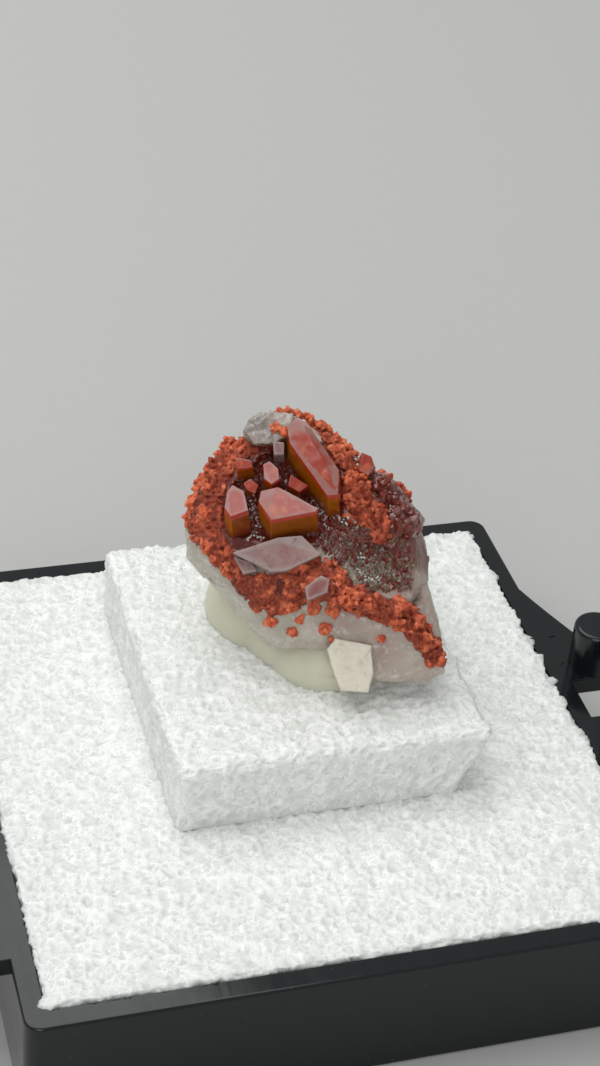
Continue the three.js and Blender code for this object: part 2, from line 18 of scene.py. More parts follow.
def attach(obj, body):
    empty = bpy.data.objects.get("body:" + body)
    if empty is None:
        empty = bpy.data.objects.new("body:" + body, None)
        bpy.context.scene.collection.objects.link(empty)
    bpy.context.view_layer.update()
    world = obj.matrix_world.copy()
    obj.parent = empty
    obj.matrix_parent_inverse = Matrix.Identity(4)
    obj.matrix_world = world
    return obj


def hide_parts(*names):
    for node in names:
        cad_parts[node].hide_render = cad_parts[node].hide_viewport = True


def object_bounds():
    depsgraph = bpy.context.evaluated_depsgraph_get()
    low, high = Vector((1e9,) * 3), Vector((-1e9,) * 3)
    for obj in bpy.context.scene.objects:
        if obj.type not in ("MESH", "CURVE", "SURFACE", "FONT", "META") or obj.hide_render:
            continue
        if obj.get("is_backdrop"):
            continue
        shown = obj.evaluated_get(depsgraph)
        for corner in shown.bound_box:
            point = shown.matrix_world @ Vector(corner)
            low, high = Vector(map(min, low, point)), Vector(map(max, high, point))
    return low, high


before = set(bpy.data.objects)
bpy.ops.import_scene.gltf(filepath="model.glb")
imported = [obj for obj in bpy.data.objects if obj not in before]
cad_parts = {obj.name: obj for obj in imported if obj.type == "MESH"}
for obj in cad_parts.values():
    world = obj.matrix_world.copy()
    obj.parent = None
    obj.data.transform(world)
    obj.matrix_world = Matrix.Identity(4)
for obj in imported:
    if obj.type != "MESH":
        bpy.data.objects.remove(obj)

bl_info = {
    "name": "Thumbnail Mineral Specimen",
    "version": (1, 0, 0),
    "blender": (4, 5, 0),
    "location": "3D View > Sidebar > Specimen",
    "description": "Builds a red quartz cluster on putty and foam in a black box base",
    "category": "Object",
}

MM = 0.001
CAD_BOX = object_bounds()

# Tray
TRAY_CORNER = 0.8
TRAY_BEVEL = 0.16
INNER_BEVEL = 0.1
LEDGE_ROUND = 0.1
# How far the ledge and the flanges reach into the wall, as a share of it, and how deep small parts are sunk
LEDGE_ROOT = 0.8
SUNK = 0.2
THUMB_LEDGE = {"half": 11.6, "corner": 0.6}
HINGE_EAR = {"near": 1.4, "far": 9.2, "bend": (16.5, 6.9)}
HINGE_POST = {"at": (17.25, 2.6), "radius": 1.2, "round": 0.22}
FLANGE_MARKS = {
    "ring": (15.69, 3.02, 0.26), "plate": (15.95, 5.33, 0.22, 0.34), "height": 0.04, "round": 0.03,
}
ROUND_STEPS = 4

# Foam
FOAM_PIT = 0.3
FOAM_EDGE = {"ragged": 0.2, "size": 0.8}
LINER = {"corner": 0.22, "second_layer": 0.6, "overhang": 0.4}
RISER = {"x": (-6.9, 8.65), "y": (-5.5, 11.8), "undercut": 1.5, "corner": 0.5, "layer": 0.11}

# Putty
PUTTY_LOBES = [
    {"at": (2.5, 4.1), "size": (4.3, 4.5, 3.2)},
    {"at": (0.25, 5.4), "size": (3.2, 3.2, 3.2)},
    {"at": (2.4, 1.7), "size": (3.2, 3.0, 2.6)},
    {"at": (4.0, 5.5), "size": (3.2, 3.4, 2.8)},
]
PUTTY_CREASE = {"height": 10.75, "wave": 0.16, "wander": 0.1, "depth": 0.07}

# Stone
QUARTZ_IOR = 1.544
STONE_CENTRE = (1.45, 3.0, 15.6)
STONE_TURN = math.radians(-18.8)
STONE_TILT = math.radians(36.5)
STONE_ROLL = math.radians(5.3)

MATRIX_BLOCKS = {
    "main": [
        (-5.2, -0.6, 0.6), (-3.9, -2.1, 0.9), (-2.5, -3.6, 1.1), (0.7, -4.0, 1.5),
        (-0.6, -1.3, 2.2), (1.5, -2.4, 2.3), (4.1, -3.2, 1.7), (-5.7, 2.0, -0.2),
        (-4.2, 4.8, -0.8), (-3.4, 3.0, 0.8), (-1.5, 5.9, -0.4), (0.6, 5.2, -0.3),
        (1.8, 3.6, 0.2), (3.9, 2.2, -0.2), (4.9, 0.2, 0.3), (5.0, -1.8, 0.7),
        (-6.1, -0.5, -0.7), (-6.2, 0.7, -0.8), (-5.8, 2.0, -1.4), (-4.8, 4.3, -1.6),
        (-3.2, 5.7, -1.8), (-2.6, 6.2, -1.9), (-1.2, 6.6, -1.9), (0.9, 5.5, -1.8),
        (2.4, 4.3, -1.8), (4.4, 2.8, -1.7), (5.1, 1.4, -1.6), (5.6, 0.0, -1.4),
        (5.6, -1.6, -1.0), (-4.7, -1.5, -1.4), (-3.0, -3.8, -0.5), (-2.1, -4.8, 0.2), (0.5, -4.9, 0.4),
        (-3.6, 3.6, -4.3), (-1.6, 4.8, -4.5), (1.2, 4.0, -4.7), (3.4, 2.0, -4.5),
        (4.0, -0.6, -4.0), (1.0, -1.8, -4.1), (-2.6, -1.0, -3.9), (-4.2, 1.2, -3.7),
    ],
    "wing": [
        (1.0, -3.0, 2.1), (4.1, -3.5, 1.8), (6.2, -5.3, 1.2), (6.3, -6.0, 0.9),
        (5.5, -6.4, 0.4), (3.2, -6.4, 0.6), (1.0, -5.0, 0.9), (1.2, -4.2, 1.6),
        (5.5, -2.5, -0.6), (5.9, -3.6, -0.3), (6.2, -4.6, 0.1),
        (4.5, -2.5, -2.8), (5.2, -4.2, -1.4), (2.0, -3.2, -2.4), (0.5, -4.5, -0.4),
    ],
    "right_shoulder": [
        (5.3, -1.9, -0.4), (5.7, -2.5, -0.7), (6.1, -3.5, -0.6), (6.2, -4.4, -0.2),
        (5.6, -1.7, -1.8), (5.9, -3.4, -1.9), (4.2, -2.0, -2.6), (4.2, -3.6, -1.0),
    ],
    "left_shard": [
        (-6.1, 0.2, -0.6), (-6.2, -0.5, -0.6), (-5.1, -1.1, -0.4), (-4.8, -0.4, 0.3),
        (-5.9, 0.6, -1.8), (-5.8, -0.4, -1.7), (-4.4, -0.9, -1.8), (-4.3, 0.6, -0.6),
    ],
    "back_lump": [
        (-2.4, 3.2, -4.1), (0.4, 3.6, -4.3), (1.6, 1.6, -4.4), (-0.2, -0.4, -4.3),
        (-2.6, 0.8, -4.0), (-1.4, 2.4, -5.3), (0.2, 2.2, -5.4), (-0.3, 0.9, -5.2),
    ],
}
HOLLOWS = [
    {
        "floor": [
            (-3.5, 0.7, 0.75), (-3.8, 2.9, 0.1), (-2.4, 4.3, -0.35), (-0.9, 4.9, -0.6),
            (0.9, 4.0, -0.4), (1.3, 2.4, 0.25), (0.4, 0.8, 0.75),
        ],
        "grow": 1.8,
    },
    {
        "floor": [
            (2.2, 0.0, 1.0), (2.9, 0.1, 0.7), (3.6, -0.1, 0.5), (3.9, -0.9, 0.65), (3.6, -1.3, 0.85),
            (2.8, -1.2, 1.15), (2.3, -0.8, 1.2),
        ],
        "grow": 4.2,
    },
]
HOLLOW_MOUTH = 3.2
FLAKE_OUTLINE = [
    (0.65, -4.8), (0.9, -5.7), (1.3, -6.75), (2.6, -6.8),
    (2.85, -5.9), (2.75, -4.6), (1.8, -4.4), (1.05, -4.25),
]
FLAKE = {"out": (0.5, 1.75), "round": 0.06, "voxel": 0.05, "relief": 0.05}

# Crystals: top is the outline of the big face, middle its height, slope how much it rises [right, up],
# foot where the root is, spread how much wider the root is, and stone which quartz it is.
CRYSTALS = {
    "long": {
        "top": [
            (-1.25, 5.7), (-0.85, 6.2), (-0.3, 6.0), (0.35, 5.0),
            (1.2, 3.7), (1.15, 2.55), (0.65, 2.5), (-1.1, 5.0),
        ],
        "middle": 1.45, "slope": (0.05, -0.33), "foot": (0.05, -1.3, -2.3), "spread": 0.35, "stone": "red",
    },
    "middle": {
        "top": [
            (-2.48, 2.7), (-1.68, 2.9), (-1.27, 2.7), (0.18, 1.9),
            (0.13, 1.74), (-1.98, 1.34), (-2.58, 2.2),
        ],
        "middle": 2.15, "slope": (0, -0.42), "foot": (0.1, -1.35, -2.0), "spread": 0.12, "stone": "red",
    },
    "left": {
        "top": [(-3.83, 3.0), (-3.28, 2.7), (-3.08, 1.8), (-3.88, 1.5), (-4.18, 1.9), (-4.08, 2.7)],
        "middle": 1.95, "slope": (0, -0.45), "foot": (0.1, -1.5, -2.1), "spread": 0.1, "stone": "red",
    },
    "small": {
        "top": [(-2.38, 4.0), (-2.08, 4.14), (-1.68, 3.8), (-1.62, 3.3), (-1.98, 3.05), (-2.32, 3.3)],
        "middle": 1.4, "slope": (0, -0.4), "foot": (0, -0.7, -2.0), "spread": 0.12, "stone": "red",
    },
    "low": {
        "top": [(-1.07, 3.5), (-0.27, 3.0), (-0.67, 2.7), (-1.19, 3.0)],
        "middle": 1.2, "slope": (0, -0.3), "foot": (0, -0.5, -1.6), "spread": 0.15, "stone": "red",
    },
    "pale": {
        "top": [
            (-3.78, -0.2), (-1.68, 0.5), (-0.57, 0.6), (0.33, -0.27),
            (-0.37, -0.52), (-1.27, -1.0), (-1.98, -1.05), (-2.78, -0.62),
        ],
        "middle": 2.45, "slope": (0.06, -0.28), "foot": (0.1, -0.3, -2.2), "spread": 0.05, "stone": "pale",
    },
    "clear": {
        "top": [
            (-3.3, 5.65), (-3.05, 6.15), (-2.5, 6.45), (-1.7, 6.55),
            (-0.95, 6.45), (-1.25, 5.5), (-1.9, 5.0), (-2.7, 5.05),
        ],
        "middle": 0.6, "slope": (0.1, -0.35), "foot": (0, -0.3, -2.4), "spread": 0.15, "stone": "broken",
    },
    "stub": {
        "top": [(-1.9, 5.1), (-1.4, 5.05), (-1.42, 4.5), (-1.86, 4.5)],
        "middle": 0.95, "slope": (0, -0.3), "foot": (0, -0.4, -1.8), "spread": 0.1, "stone": "pale",
    },
    "edge": {
        "top": [(-3.68, 4.3), (-2.98, 4.2), (-2.88, 3.9), (-3.58, 3.8)],
        "middle": 1.25, "slope": (0, -0.3), "foot": (0, -0.8, -1.9), "spread": 0.1, "stone": "red",
    },
    "chip": {
        "top": [(-3.29, 3.1), (-2.98, 3.3), (-2.62, 3.0), (-2.78, 2.6), (-3.14, 2.8)],
        "middle": 1.5, "slope": (0, -0.3), "foot": (0, -0.3, -1.8), "spread": 0.1, "stone": "red",
    },
    "in_crust": {
        "top": [(-0.37, -1.8), (0.33, -1.27), (0.73, -1.42), (0.63, -2.0), (-0.27, -2.4)],
        "middle": 2.95, "slope": (0, -0.25), "foot": (0, -0.2, -1.6), "spread": 0.1, "stone": "pale",
    },
    "skyline": {
        "top": [(2.35, 4.6), (2.8, 4.4), (2.95, 3.95), (2.65, 3.5), (2.2, 3.75)],
        "middle": 0.3, "slope": (-0.2, -0.2), "foot": (-0.2, -0.7, -2.0), "spread": 0.2, "stone": "red",
    },
    "bulge": {
        "top": [(3.95, 2.25), (4.45, 2.3), (4.95, 1.6), (4.85, 0.95), (4.15, 0.85), (3.8, 1.5)],
        "middle": 0.55, "slope": (-0.25, -0.2), "foot": (0, -0.2, -1.6), "spread": 0.5, "stone": "dark",
    },
    "upper_bulge": {
        "top": [(2.95, 3.35), (3.45, 3.5), (4.05, 2.95), (3.95, 2.4), (3.3, 2.45)],
        "middle": 0.35, "slope": (-0.15, -0.25), "foot": (0, -0.3, -1.6), "spread": 0.5, "stone": "dark",
    },
    "wedge": {
        "top": [(-3.75, -0.4), (-2.9, -0.7), (-2.7, -1.05), (-3.3, -1.15)],
        "middle": 1.95, "slope": (0.1, -0.2), "foot": (0, -0.2, -1.4), "spread": 0.1, "stone": "pale",
    },
}
CRYSTAL_BEVEL = {"drop": 0.07, "spread": 0.035, "lean": 0.1}
EDGE_ROUNDING = {"offset": 0.02, "segments": 2, "profile": 0.6, "affect": "EDGES", "clamp_overlap": True}
# The pale band on the crystals' big faces is partly haze and partly painted sheen: the grid cuts that carry
# it, its width and how far it reaches from the upper end
VEIL_AND_SHEEN_CUTS = 7
VEIL_AND_SHEEN_WIDTH = 0.3
VEIL_AND_SHEEN_END = 0.35
DEEPEST = 3.0
FACES_OUT = 0.7
ROUGH_STONES = ("broken", "dark")

# Red crust: bands over the front, rows along the skyline and lumps that stand alone. Each layer of the
# bands keeps the crumbs where the crust is thicker than its limit.
CRUST_BANDS = {
    "left_shoulder": [
        (-4.0, 5.5), (-3.3, 5.2), (-2.6, 4.7), (-2.6, 4.4), (-3.5, 4.2), (-4.0, 3.4), (-4.3, 2.5),
        (-4.3, 1.0), (-3.8, -0.2), (-3.2, -1.3), (-2.5, -2.4), (-2.6, -3.2), (-3.5, -2.1),
        (-4.7, -0.7), (-5.8, 0.5), (-6.2, 1.2), (-6.0, 2.0), (-5.4, 3.2), (-4.5, 4.5),
    ],
    "middle_ridge": [
        (-3.3, -1.3), (-2.3, -1.2), (-1.4, -1.05), (-0.9, -0.7), (-0.1, -0.45), (0.7, -0.5),
        (1.4, -0.9), (1.9, -1.8), (3.1, -2.1), (4.4, -2.4), (5.0, -3.1), (5.7, -4.2), (6.3, -5.0),
        (6.3, -5.6), (5.5, -5.5), (4.9, -4.8),
        (4.2, -4.0), (3.2, -3.5), (2.0, -3.0), (1.2, -2.9), (0.6, -2.5), (-0.3, -2.5), (-1.0, -3.0),
        (-2.0, -3.2), (-2.8, -2.7),
    ],
    "above_long_crystal": [
        (-0.9, 6.6), (-0.5, 6.7), (0.4, 6.0), (1.3, 5.2), (2.0, 4.6),
        (1.4, 4.3), (1.3, 3.7), (0.5, 5.0), (-0.2, 6.1),
    ],
    "beside_long_crystal": [
        (1.4, 4.6), (2.0, 4.6), (2.1, 3.8), (2.8, 2.7), (3.4, 2.0), (3.7, 1.2), (3.7, 0.5), (3.4, 0.15),
        (2.9, 0.3), (2.5, 0.8), (1.8, 1.1), (1.4, 1.9), (1.5, 2.9),
    ],
}
SKYLINE_CRUST = [
    [
        (-4.0, 5.3, -1.1), (-4.5, 4.5, -1.1), (-5.1, 3.7, -1.0),
        (-5.6, 2.8, -0.9), (-5.95, 1.9, -0.8), (-6.1, 1.1, -0.6),
    ],
    [
        (-1.7, 6.5, -1.5), (-1.3, 6.7, -1.6), (-0.8, 6.6, -1.6),
        (0.7, 5.75, -1.6), (1.3, 5.15, -1.5), (2.0, 4.6, -1.5),
    ],
    [(3.15, 3.75, -1.3), (3.6, 3.5, -1.3), (4.0, 3.1, -1.3), (4.35, 2.8, -1.3), (4.7, 2.3, -1.2)],
]
SKYLINE_REACH = 0.3
LONE_GRAINS = [
    (-1.0, -3.95, 0.3), (0.0, -2.85, 0.36), (0.95, -2.9, 0.32), (0.55, -3.8, 0.32), (-2.0, -3.5, 0.3),
    (0.9, -4.35, 0.2), (-0.6, -3.35, 0.2), (-1.75, 5.75, 0.28), (-1.4, 5.55, 0.24), (3.2, -4.3, 0.2),
]
# Each layer's last value is how much painted shade its crumbs get: lower layers lie in shade.
CRUST_LAYERS = [
    {"step": 0.15, "size": 1.15, "lift": 0.02, "keep": -2.0, "deep": 0.6},
    {"step": 0.14, "size": 1.0, "lift": 0.17, "keep": -0.45, "deep": 0.3},
    {"step": 0.14, "size": 0.95, "lift": 0.33, "keep": -0.15, "deep": 0.05},
    {"step": 0.16, "size": 0.9, "lift": 0.48, "keep": 0.1, "deep": 0.0},
]
CRUST_LUMP = 0.85
CRUST_FACING = 0.1
CRUST_GRAIN = 0.06
CRUMB_SHAPES = 60
LARGEST_CRUMB = 2.4
CRUMB_SPREAD = 0.42
SKYLINE_STEP = 0.028
LONE_CRUMBS = 800

# Tiny quartz points: on the slope beside the crust, in the upper right, and round the crystals' roots.
# tall is how long the points are for their width, and shares is how many are of each kind: dark red,
# mauve, grey brown and pale grey. A point's kind is its number times the step.
DRUSE_BANDS = [
    {
        "outline": [
            (1.2, 1.5), (1.9, 1.3), (2.6, 1.0), (3.1, 0.4), (3.8, 0.3), (4.6, 0.4), (4.8, -0.6), (4.7, -2.0),
            (2.6, -2.1), (1.7, -1.0), (0.5, -0.3), (0.0, 0.3), (0.3, 1.0),
        ],
        "step": 0.14, "size": 0.06, "tall": 1.0, "shares": (0.5, 0.2, 0.24, 0.06),
    },
    {
        "outline": [
            (1.9, 4.6), (3.0, 3.9), (4.3, 2.7), (5.1, 1.6),
            (5.2, 0.6), (4.0, 0.3), (3.4, 1.8), (2.5, 2.8),
        ],
        "step": 0.24, "size": 0.15, "tall": 0.45, "shares": (0.62, 0.38, 0.0, 0.0),
    },
    {
        "outline": [
            (-3.8, 0.9), (-4.0, 3.0), (-2.9, 4.3), (-1.4, 4.9),
            (-0.6, 3.6), (1.2, 2.0), (1.3, 1.0), (0.3, 0.6),
        ],
        "step": 0.18, "size": 0.1, "tall": 0.8, "shares": (0.8, 0.2, 0.0, 0.0),
    },
]
DRUSE_LEAN = Vector((0.1, 0.9, 0))
KIND_STEP = 0.28
SPARKLE_KIND = 1.0
SPARKLE_STEP = 0.05

# The druse's colours after dark red, each with the kind's value that it starts at
# The last, near-white tone is partly painted glint on the tiny crumbs
DRUSE_TONES = [
    (0.15, (0.3, 0.12, 0.11)), (0.42, (0.21, 0.14, 0.075)),
    (0.7, (0.38, 0.34, 0.27)), (0.92, (0.95, 0.92, 0.88)),
]
UPPER_SLOPE = [(1.2, 4.6), (3.2, 3.8), (5.2, 1.8), (5.5, -1.0), (3.0, 0.4)]
FROST = {"at": (2.5, -1.1), "reach": (1.5, 0.9)}

# Lines of white quartz crumbs, their white partly painted glint, at [across, up]
SPARKLE_LINES = [
    [(-0.1, 2.3), (0.1, 1.9), (0.5, 1.6), (0.7, 1.5)], [(1.0, 1.5), (1.5, 1.2), (1.6, 0.9)],
    [(-2.9, 2.3), (-2.8, 1.5), (-2.6, 1.0)], [(-3.1, 0.4), (-2.6, 0.5), (-2.3, 0.4)],
    [(2.0, 4.2), (2.3, 3.7), (2.6, 3.1), (3.0, 2.9)], [(3.7, 2.1), (3.9, 1.6), (4.1, 1.3)],
    [(0.5, -1.5), (1.0, -1.8), (1.6, -2.2)], [(2.1, -1.1), (2.5, -1.5), (3.2, -1.5)],
    [(0.6, 1.1), (0.8, 0.9)], [(2.1, -0.3), (2.3, -0.6)], [(1.7, 1.4), (1.9, 1.1)],
]

# Stage, in metres
FLOOR_HALF = 1.5
SOFT_LIGHTS = {
    "overhead": {"place": (-0.115, 0.125, 0.3), "aim": (-0.115, 0.125, 0.0), "size": (0.37, 0.35)},
    "fill": {"place": (-0.12, -0.3, 0.16), "aim": (0.0, 0.0, 0.01), "size": (0.2, 0.2)},
}
SKY = (0.97, 1.0, 0.99, 1.0)

# A distance beyond every other, and a height over the whole stone in its own frame
FAR = 99.0
ABOVE_STONE = 20.0


# Settings

def length(name, description, millimetres, low=0.0, high=0.2):
    return bpy.props.FloatProperty(
        name=name, description=description, default=millimetres * MM, min=low, max=high,
        unit="LENGTH", precision=5,
    )


def angle(name, description, degrees):
    return bpy.props.FloatProperty(
        name=name, description=description, default=math.radians(degrees), subtype="ANGLE", unit="ROTATION",
    )


def colour(name, description, rgb):
    return bpy.props.FloatVectorProperty(
        name=name, description=description, default=rgb, size=3, min=0.0, max=1.0, subtype="COLOR",
    )


def amount(name, description, value, high=10.0):
    return bpy.props.FloatProperty(name=name, description=description, default=value, min=0.0, max=high)


class TraySettings(bpy.types.PropertyGroup):
    side: length("Side", "Outside width of the square box base", 31.5)
    height: length("Height", "Height of the rim", 6.3)
    wall: length("Wall", "Thickness of the walls", 1.0)
    floor: length("Floor", "Thickness of the floor", 1.2)
    reach: length("Reach", "How far the ledge and the hinge flanges stand from the middle", 18.45)
    rim: length("Ledge thickness", "Thickness of the ledge and the hinge flanges", 1.0)
    post_top: length("Post top", "Height of the hinge posts", 8.85)
    plastic: colour("Plastic", "Colour of the black plastic", (0.006, 0.008, 0.009))


class FoamSettings(bpy.types.PropertyGroup):
    side: length("Liner side", "Width of the square foam liner", 29.4)
    liner_top: length("Liner top", "Height of the liner's top", 6.52)
    riser_top: length("Riser top", "Height of the riser's top", 10.1)
    cell: length("Cell", "Size of the foam's larger cells", 0.58)
    depth: length("Cell depth", "How deep the cut cells are", 0.15)
    grid: length("Grid", "Spacing of the mesh that carries the cells", 0.108)
    white: colour("Foam", "Colour of the foam", (0.76, 0.78, 0.75))
    # Painted shade: the colour deep in the cut cells
    pit: colour("Cells", "Colour deep in the cut cells", (0.68, 0.7, 0.67))
    # Painted highlight: glints on the thin walls between the cells
    film: colour("Cell walls", "Colour of the thin walls between the cells", (0.97, 0.98, 0.96))


class PuttySettings(bpy.types.PropertyGroup):
    voxel: length("Grain", "Size of the mesh that the putty is fused with", 0.11)
    roll: length("Rolls", "Height of the putty's soft rolls", 0.14)
    putty: colour("Putty", "Colour of the putty", (0.62, 0.61, 0.48))


class StoneSettings(bpy.types.PropertyGroup):
    voxel: length("Grain", "Size of the mesh that the quartz is fused with", 0.09)
    fracture: length("Fracture", "Relief of the broken quartz", 0.16)
    crumb: length("Crumbs", "Half the width of the crust's usual crumb", 0.1)
    crust_voxel: length("Crust grain", "Size of the mesh that the crust's crumbs are fused with", 0.056)
    milky: colour("Milky quartz", "Colour of the pale quartz", (0.73, 0.67, 0.57))
    clear: colour("Clear quartz", "Colour of the broken clear lump", (0.44, 0.38, 0.34))
    blush: colour("Blush", "Colour of the quartz where it turns pink", (0.54, 0.38, 0.33))
    stain: colour("Stain", "Colour of the stained quartz", (0.17, 0.014, 0.007))
    smoke: colour("Smoky slope", "Colour of the quartz under the tiny points", (0.22, 0.07, 0.055))
    red: colour("Red crystal", "Colour seen through the crystals' big faces", (0.5, 0.065, 0.038))
    # Partly the quartz's own haze, partly painted sheen of the overhead light on the big faces
    veil_and_sheen: colour("Veil", "Colour of the thin veil in the crystals' big faces", (0.46, 0.21, 0.19))
    # Partly the quartz's own colour, partly painted glow of light coming through the sides
    amber_glow: colour("Amber crystal", "Colour seen through the crystals' sides", (0.62, 0.2, 0.005))
    pale: colour("Pale crystal", "Colour of the pale crystals", (0.54, 0.36, 0.345))
    crust: colour("Crust", "Colour of the iron crust", (0.65, 0.135, 0.058))
    flake: colour("Flake", "Colour of the cream flake", (0.78, 0.72, 0.6))


class StageSettings(bpy.types.PropertyGroup):
    azimuth: angle("Azimuth", "Where the camera stands round the specimen", -18.8297)
    elevation: angle("Elevation", "How high the camera stands", 36.4559)
    roll: angle("Roll", "How far the camera is turned about its view", 5.331)
    distance: length("Distance", "From the camera to the point that it looks at", 121.0275)
    target: bpy.props.FloatVectorProperty(
        name="Target", description="The point that the camera looks at",
        default=(0.0050847, 0.015815, 0.0066), size=3, subtype="XYZ", unit="LENGTH", precision=5,
    )
    lens: amount("Lens", "Focal length in millimetres, for a 36 mm long side", 73.72, 300.0)
    floor: colour("Floor", "Colour of the floor", (0.5, 0.5, 0.49))
    overhead: amount("Overhead light", "Power of the large soft light, in watts", 0.92)
    fill: amount("Fill light", "Power of the soft light by the camera, in watts", 0.3)
    sky: amount("Surroundings", "Brightness of the plain surroundings", 0.42)


# Noise

def lattice(cells, seed):
    """A number from 0 to 1 for each whole-number place."""
    c = cells.astype(np.int64)
    h = (c[..., 0] * 73856093) ^ (c[..., 1] * 19349663) ^ (c[..., 2] * 83492791) ^ (seed * 2654435761)
    h &= 0xFFFFFFFF
    for _ in range(2):
        h = ((h ^ (h >> 16)) * 0x45D9F3B) & 0xFFFFFFFF
    return (h ^ (h >> 16)) / 4294967295.0


def noise(points, size, seed):
    """Smooth noise from -1 to 1, with features of the given size."""
    scaled = points / size
    cell = np.floor(scaled)
    part = scaled - cell
    part = part * part * (3 - 2 * part)
    total = 0
    for corner in itertools.product((0, 1), repeat=3):
        weight = np.prod(np.where(corner, part, 1 - part), axis=-1)
        total = total + weight * lattice(cell + corner, seed)
    return 2 * total - 1


def layered(points, size, seed, layers=3):
    """Noise with finer and finer layers on it."""
    return sum(noise(points, size / 2 ** k, seed + k) / 2 ** k for k in range(layers)) / 1.6


def cells(points, size, seed):
    """For each point: how far the nearest and second nearest cell centres are, and the nearest cell."""
    scaled = points / size
    base = np.floor(scaled)
    near = np.full(len(points), FAR)
    second = near.copy()
    nearest = base.copy()
    for offset in itertools.product((-1, 0, 1), repeat=3):
        cell = base + offset
        centre = cell + np.stack([lattice(cell, seed + k) for k in range(3)], axis=-1)
        away = np.linalg.norm(scaled - centre, axis=1)
        closer = away < near
        second = np.where(closer, near, np.minimum(second, away))
        nearest[closer] = cell[closer]
        near = np.where(closer, away, near)
    return near, second, nearest


def facets(points, size, seed):
    """Relief like that of broken quartz, from -1 to 1: every cell is a flat face with a tilt of its own."""
    _, _, nearest = cells(points, size, seed)
    centre = nearest + np.stack([lattice(nearest, seed + k) for k in range(3)], axis=-1)
    tilt = np.stack([lattice(nearest, seed + 5 + k) for k in range(3)], axis=-1) * 2 - 1
    return np.einsum("ij,ij->i", points / size - centre, tilt)


def smoothstep(low, high, value):
    t = np.clip((value - low) / (high - low), 0, 1)
    return t * t * (3 - 2 * t)


# Reliefs, in rows of pattern, share, size and seed
MATRIX_RELIEF = ((facets, 0.55, 1.9, 61), (facets, 0.35, 0.75, 71), (layered, 0.25, 0.5, 81))
LUMP_RELIEF = ((facets, 0.85, 0.95, 101), (facets, 0.35, 0.35, 111))
FLAKE_RELIEF = ((facets, 0.6, 0.9, 5), (facets, 0.35, 0.35, 15), (layered, 0.3, 0.4, 25))
CRUST_RELIEF = ((facets, 1.0, 0.2, 55), (layered, 0.6, 0.12, 65))


def relief_of(points, rows):
    return sum(share * pattern(points, size, seed) for pattern, share, size, seed in rows)


# Meshes

def mesh_of(name, points, faces):
    mesh = bpy.data.meshes.new(name)
    mesh.from_pydata(points, [], faces)
    mesh.validate()
    return mesh


def values_of(items, name, width, kind=float):
    """A property of a mesh's points, edges or faces, in rows."""
    values = np.empty(len(items) * width, dtype=kind)
    items.foreach_get(name, values)
    return values.reshape(-1, width)


def points_of(mesh):
    return values_of(mesh.vertices, "co", 3)


def normals_of(mesh):
    return values_of(mesh.vertices, "normal", 3)


def push_out(mesh, heights):
    """Moves each point along its normal."""
    points = points_of(mesh) + normals_of(mesh) * heights[:, None]
    mesh.vertices.foreach_set("co", points.astype(np.float32).ravel())
    mesh.update()


def neighbour_mean(mesh, values):
    """The mean over each point's neighbours of one value a point."""
    edges = values_of(mesh.edges, "vertices", 2, np.int64)
    total = np.zeros_like(values)
    count = np.zeros(len(values))
    for here, there in ((0, 1), (1, 0)):
        np.add.at(total, edges[:, here], values[edges[:, there]])
        np.add.at(count, edges[:, here], 1)
    return total / np.maximum(count, 1).reshape((-1,) + (1,) * (values.ndim - 1))


def hollowness(mesh, rounds=3):
    """How far each point lies in a hollow (positive) or on a crest (negative), smoothed."""
    points = points_of(mesh)
    normals = normals_of(mesh)
    around = points
    for _ in range(rounds):
        around = neighbour_mean(mesh, around)
    return np.einsum("ij,ij->i", around - points, normals)


def paint(mesh, name, values, domain="POINT"):
    """Stores a number from 0 to 1 at each point or on each face, for the materials."""
    layer = mesh.attributes.new(name, "FLOAT", domain)
    layer.data.foreach_set("value", np.clip(values, 0, 1).astype(np.float32))


def taken(shape):
    """A bmesh as (points, faces). The bmesh goes."""
    shape.verts.index_update()
    solid = [tuple(v.co) for v in shape.verts], [tuple(v.index for v in f.verts) for f in shape.faces]
    shape.free()
    return solid


def hull(points, grow=0.0):
    """The convex solid round some points, as (points, faces)."""
    shape = bmesh.new()
    for point in points:
        shape.verts.new(point)
    made = bmesh.ops.convex_hull(shape, input=shape.verts)
    loose = {v for v in made["geom_interior"] + made["geom_unused"] if isinstance(v, bmesh.types.BMVert)}
    bmesh.ops.delete(shape, geom=list(loose), context="VERTS")
    bmesh.ops.recalc_face_normals(shape, faces=shape.faces)
    if grow:
        middle = sum((v.co for v in shape.verts), Vector()) / len(shape.verts)
        for v in shape.verts:
            v.co += (v.co - middle).normalized() * grow
    return taken(shape)


def gathered(solids):
    """Several solids as one, not fused."""
    points, faces = [], []
    for some_points, some_faces in solids:
        start = len(points)
        points.extend(some_points)
        faces.extend(tuple(i + start for i in face) for face in some_faces)
    return points, faces


def linked(name, data):
    """A new object in the scene."""
    thing = bpy.data.objects.new(name, data)
    bpy.context.scene.collection.objects.link(thing)
    return thing


def temporary(points, faces):
    return linked("temporary", mesh_of("temporary", points, faces))


def result_of(thing):
    """The mesh that an object's modifiers give. The object goes."""
    graph = bpy.context.evaluated_depsgraph_get()
    mesh = bpy.data.meshes.new_from_object(thing.evaluated_get(graph))
    bpy.data.objects.remove(thing)
    return mesh


def combined(base, tools, operation):
    """Adds solids to a base or cuts them from it."""
    thing = temporary(*base)
    helpers = [temporary(*tool) for tool in tools]
    for helper in helpers:
        step = thing.modifiers.new(operation, "BOOLEAN")
        step.operation = operation
        step.solver = "EXACT"
        step.object = helper
    mesh = result_of(thing)
    for helper in helpers:
        bpy.data.objects.remove(helper)
    return mesh


def solid_of(mesh):
    return [tuple(v.co) for v in mesh.vertices], [tuple(p.vertices) for p in mesh.polygons]


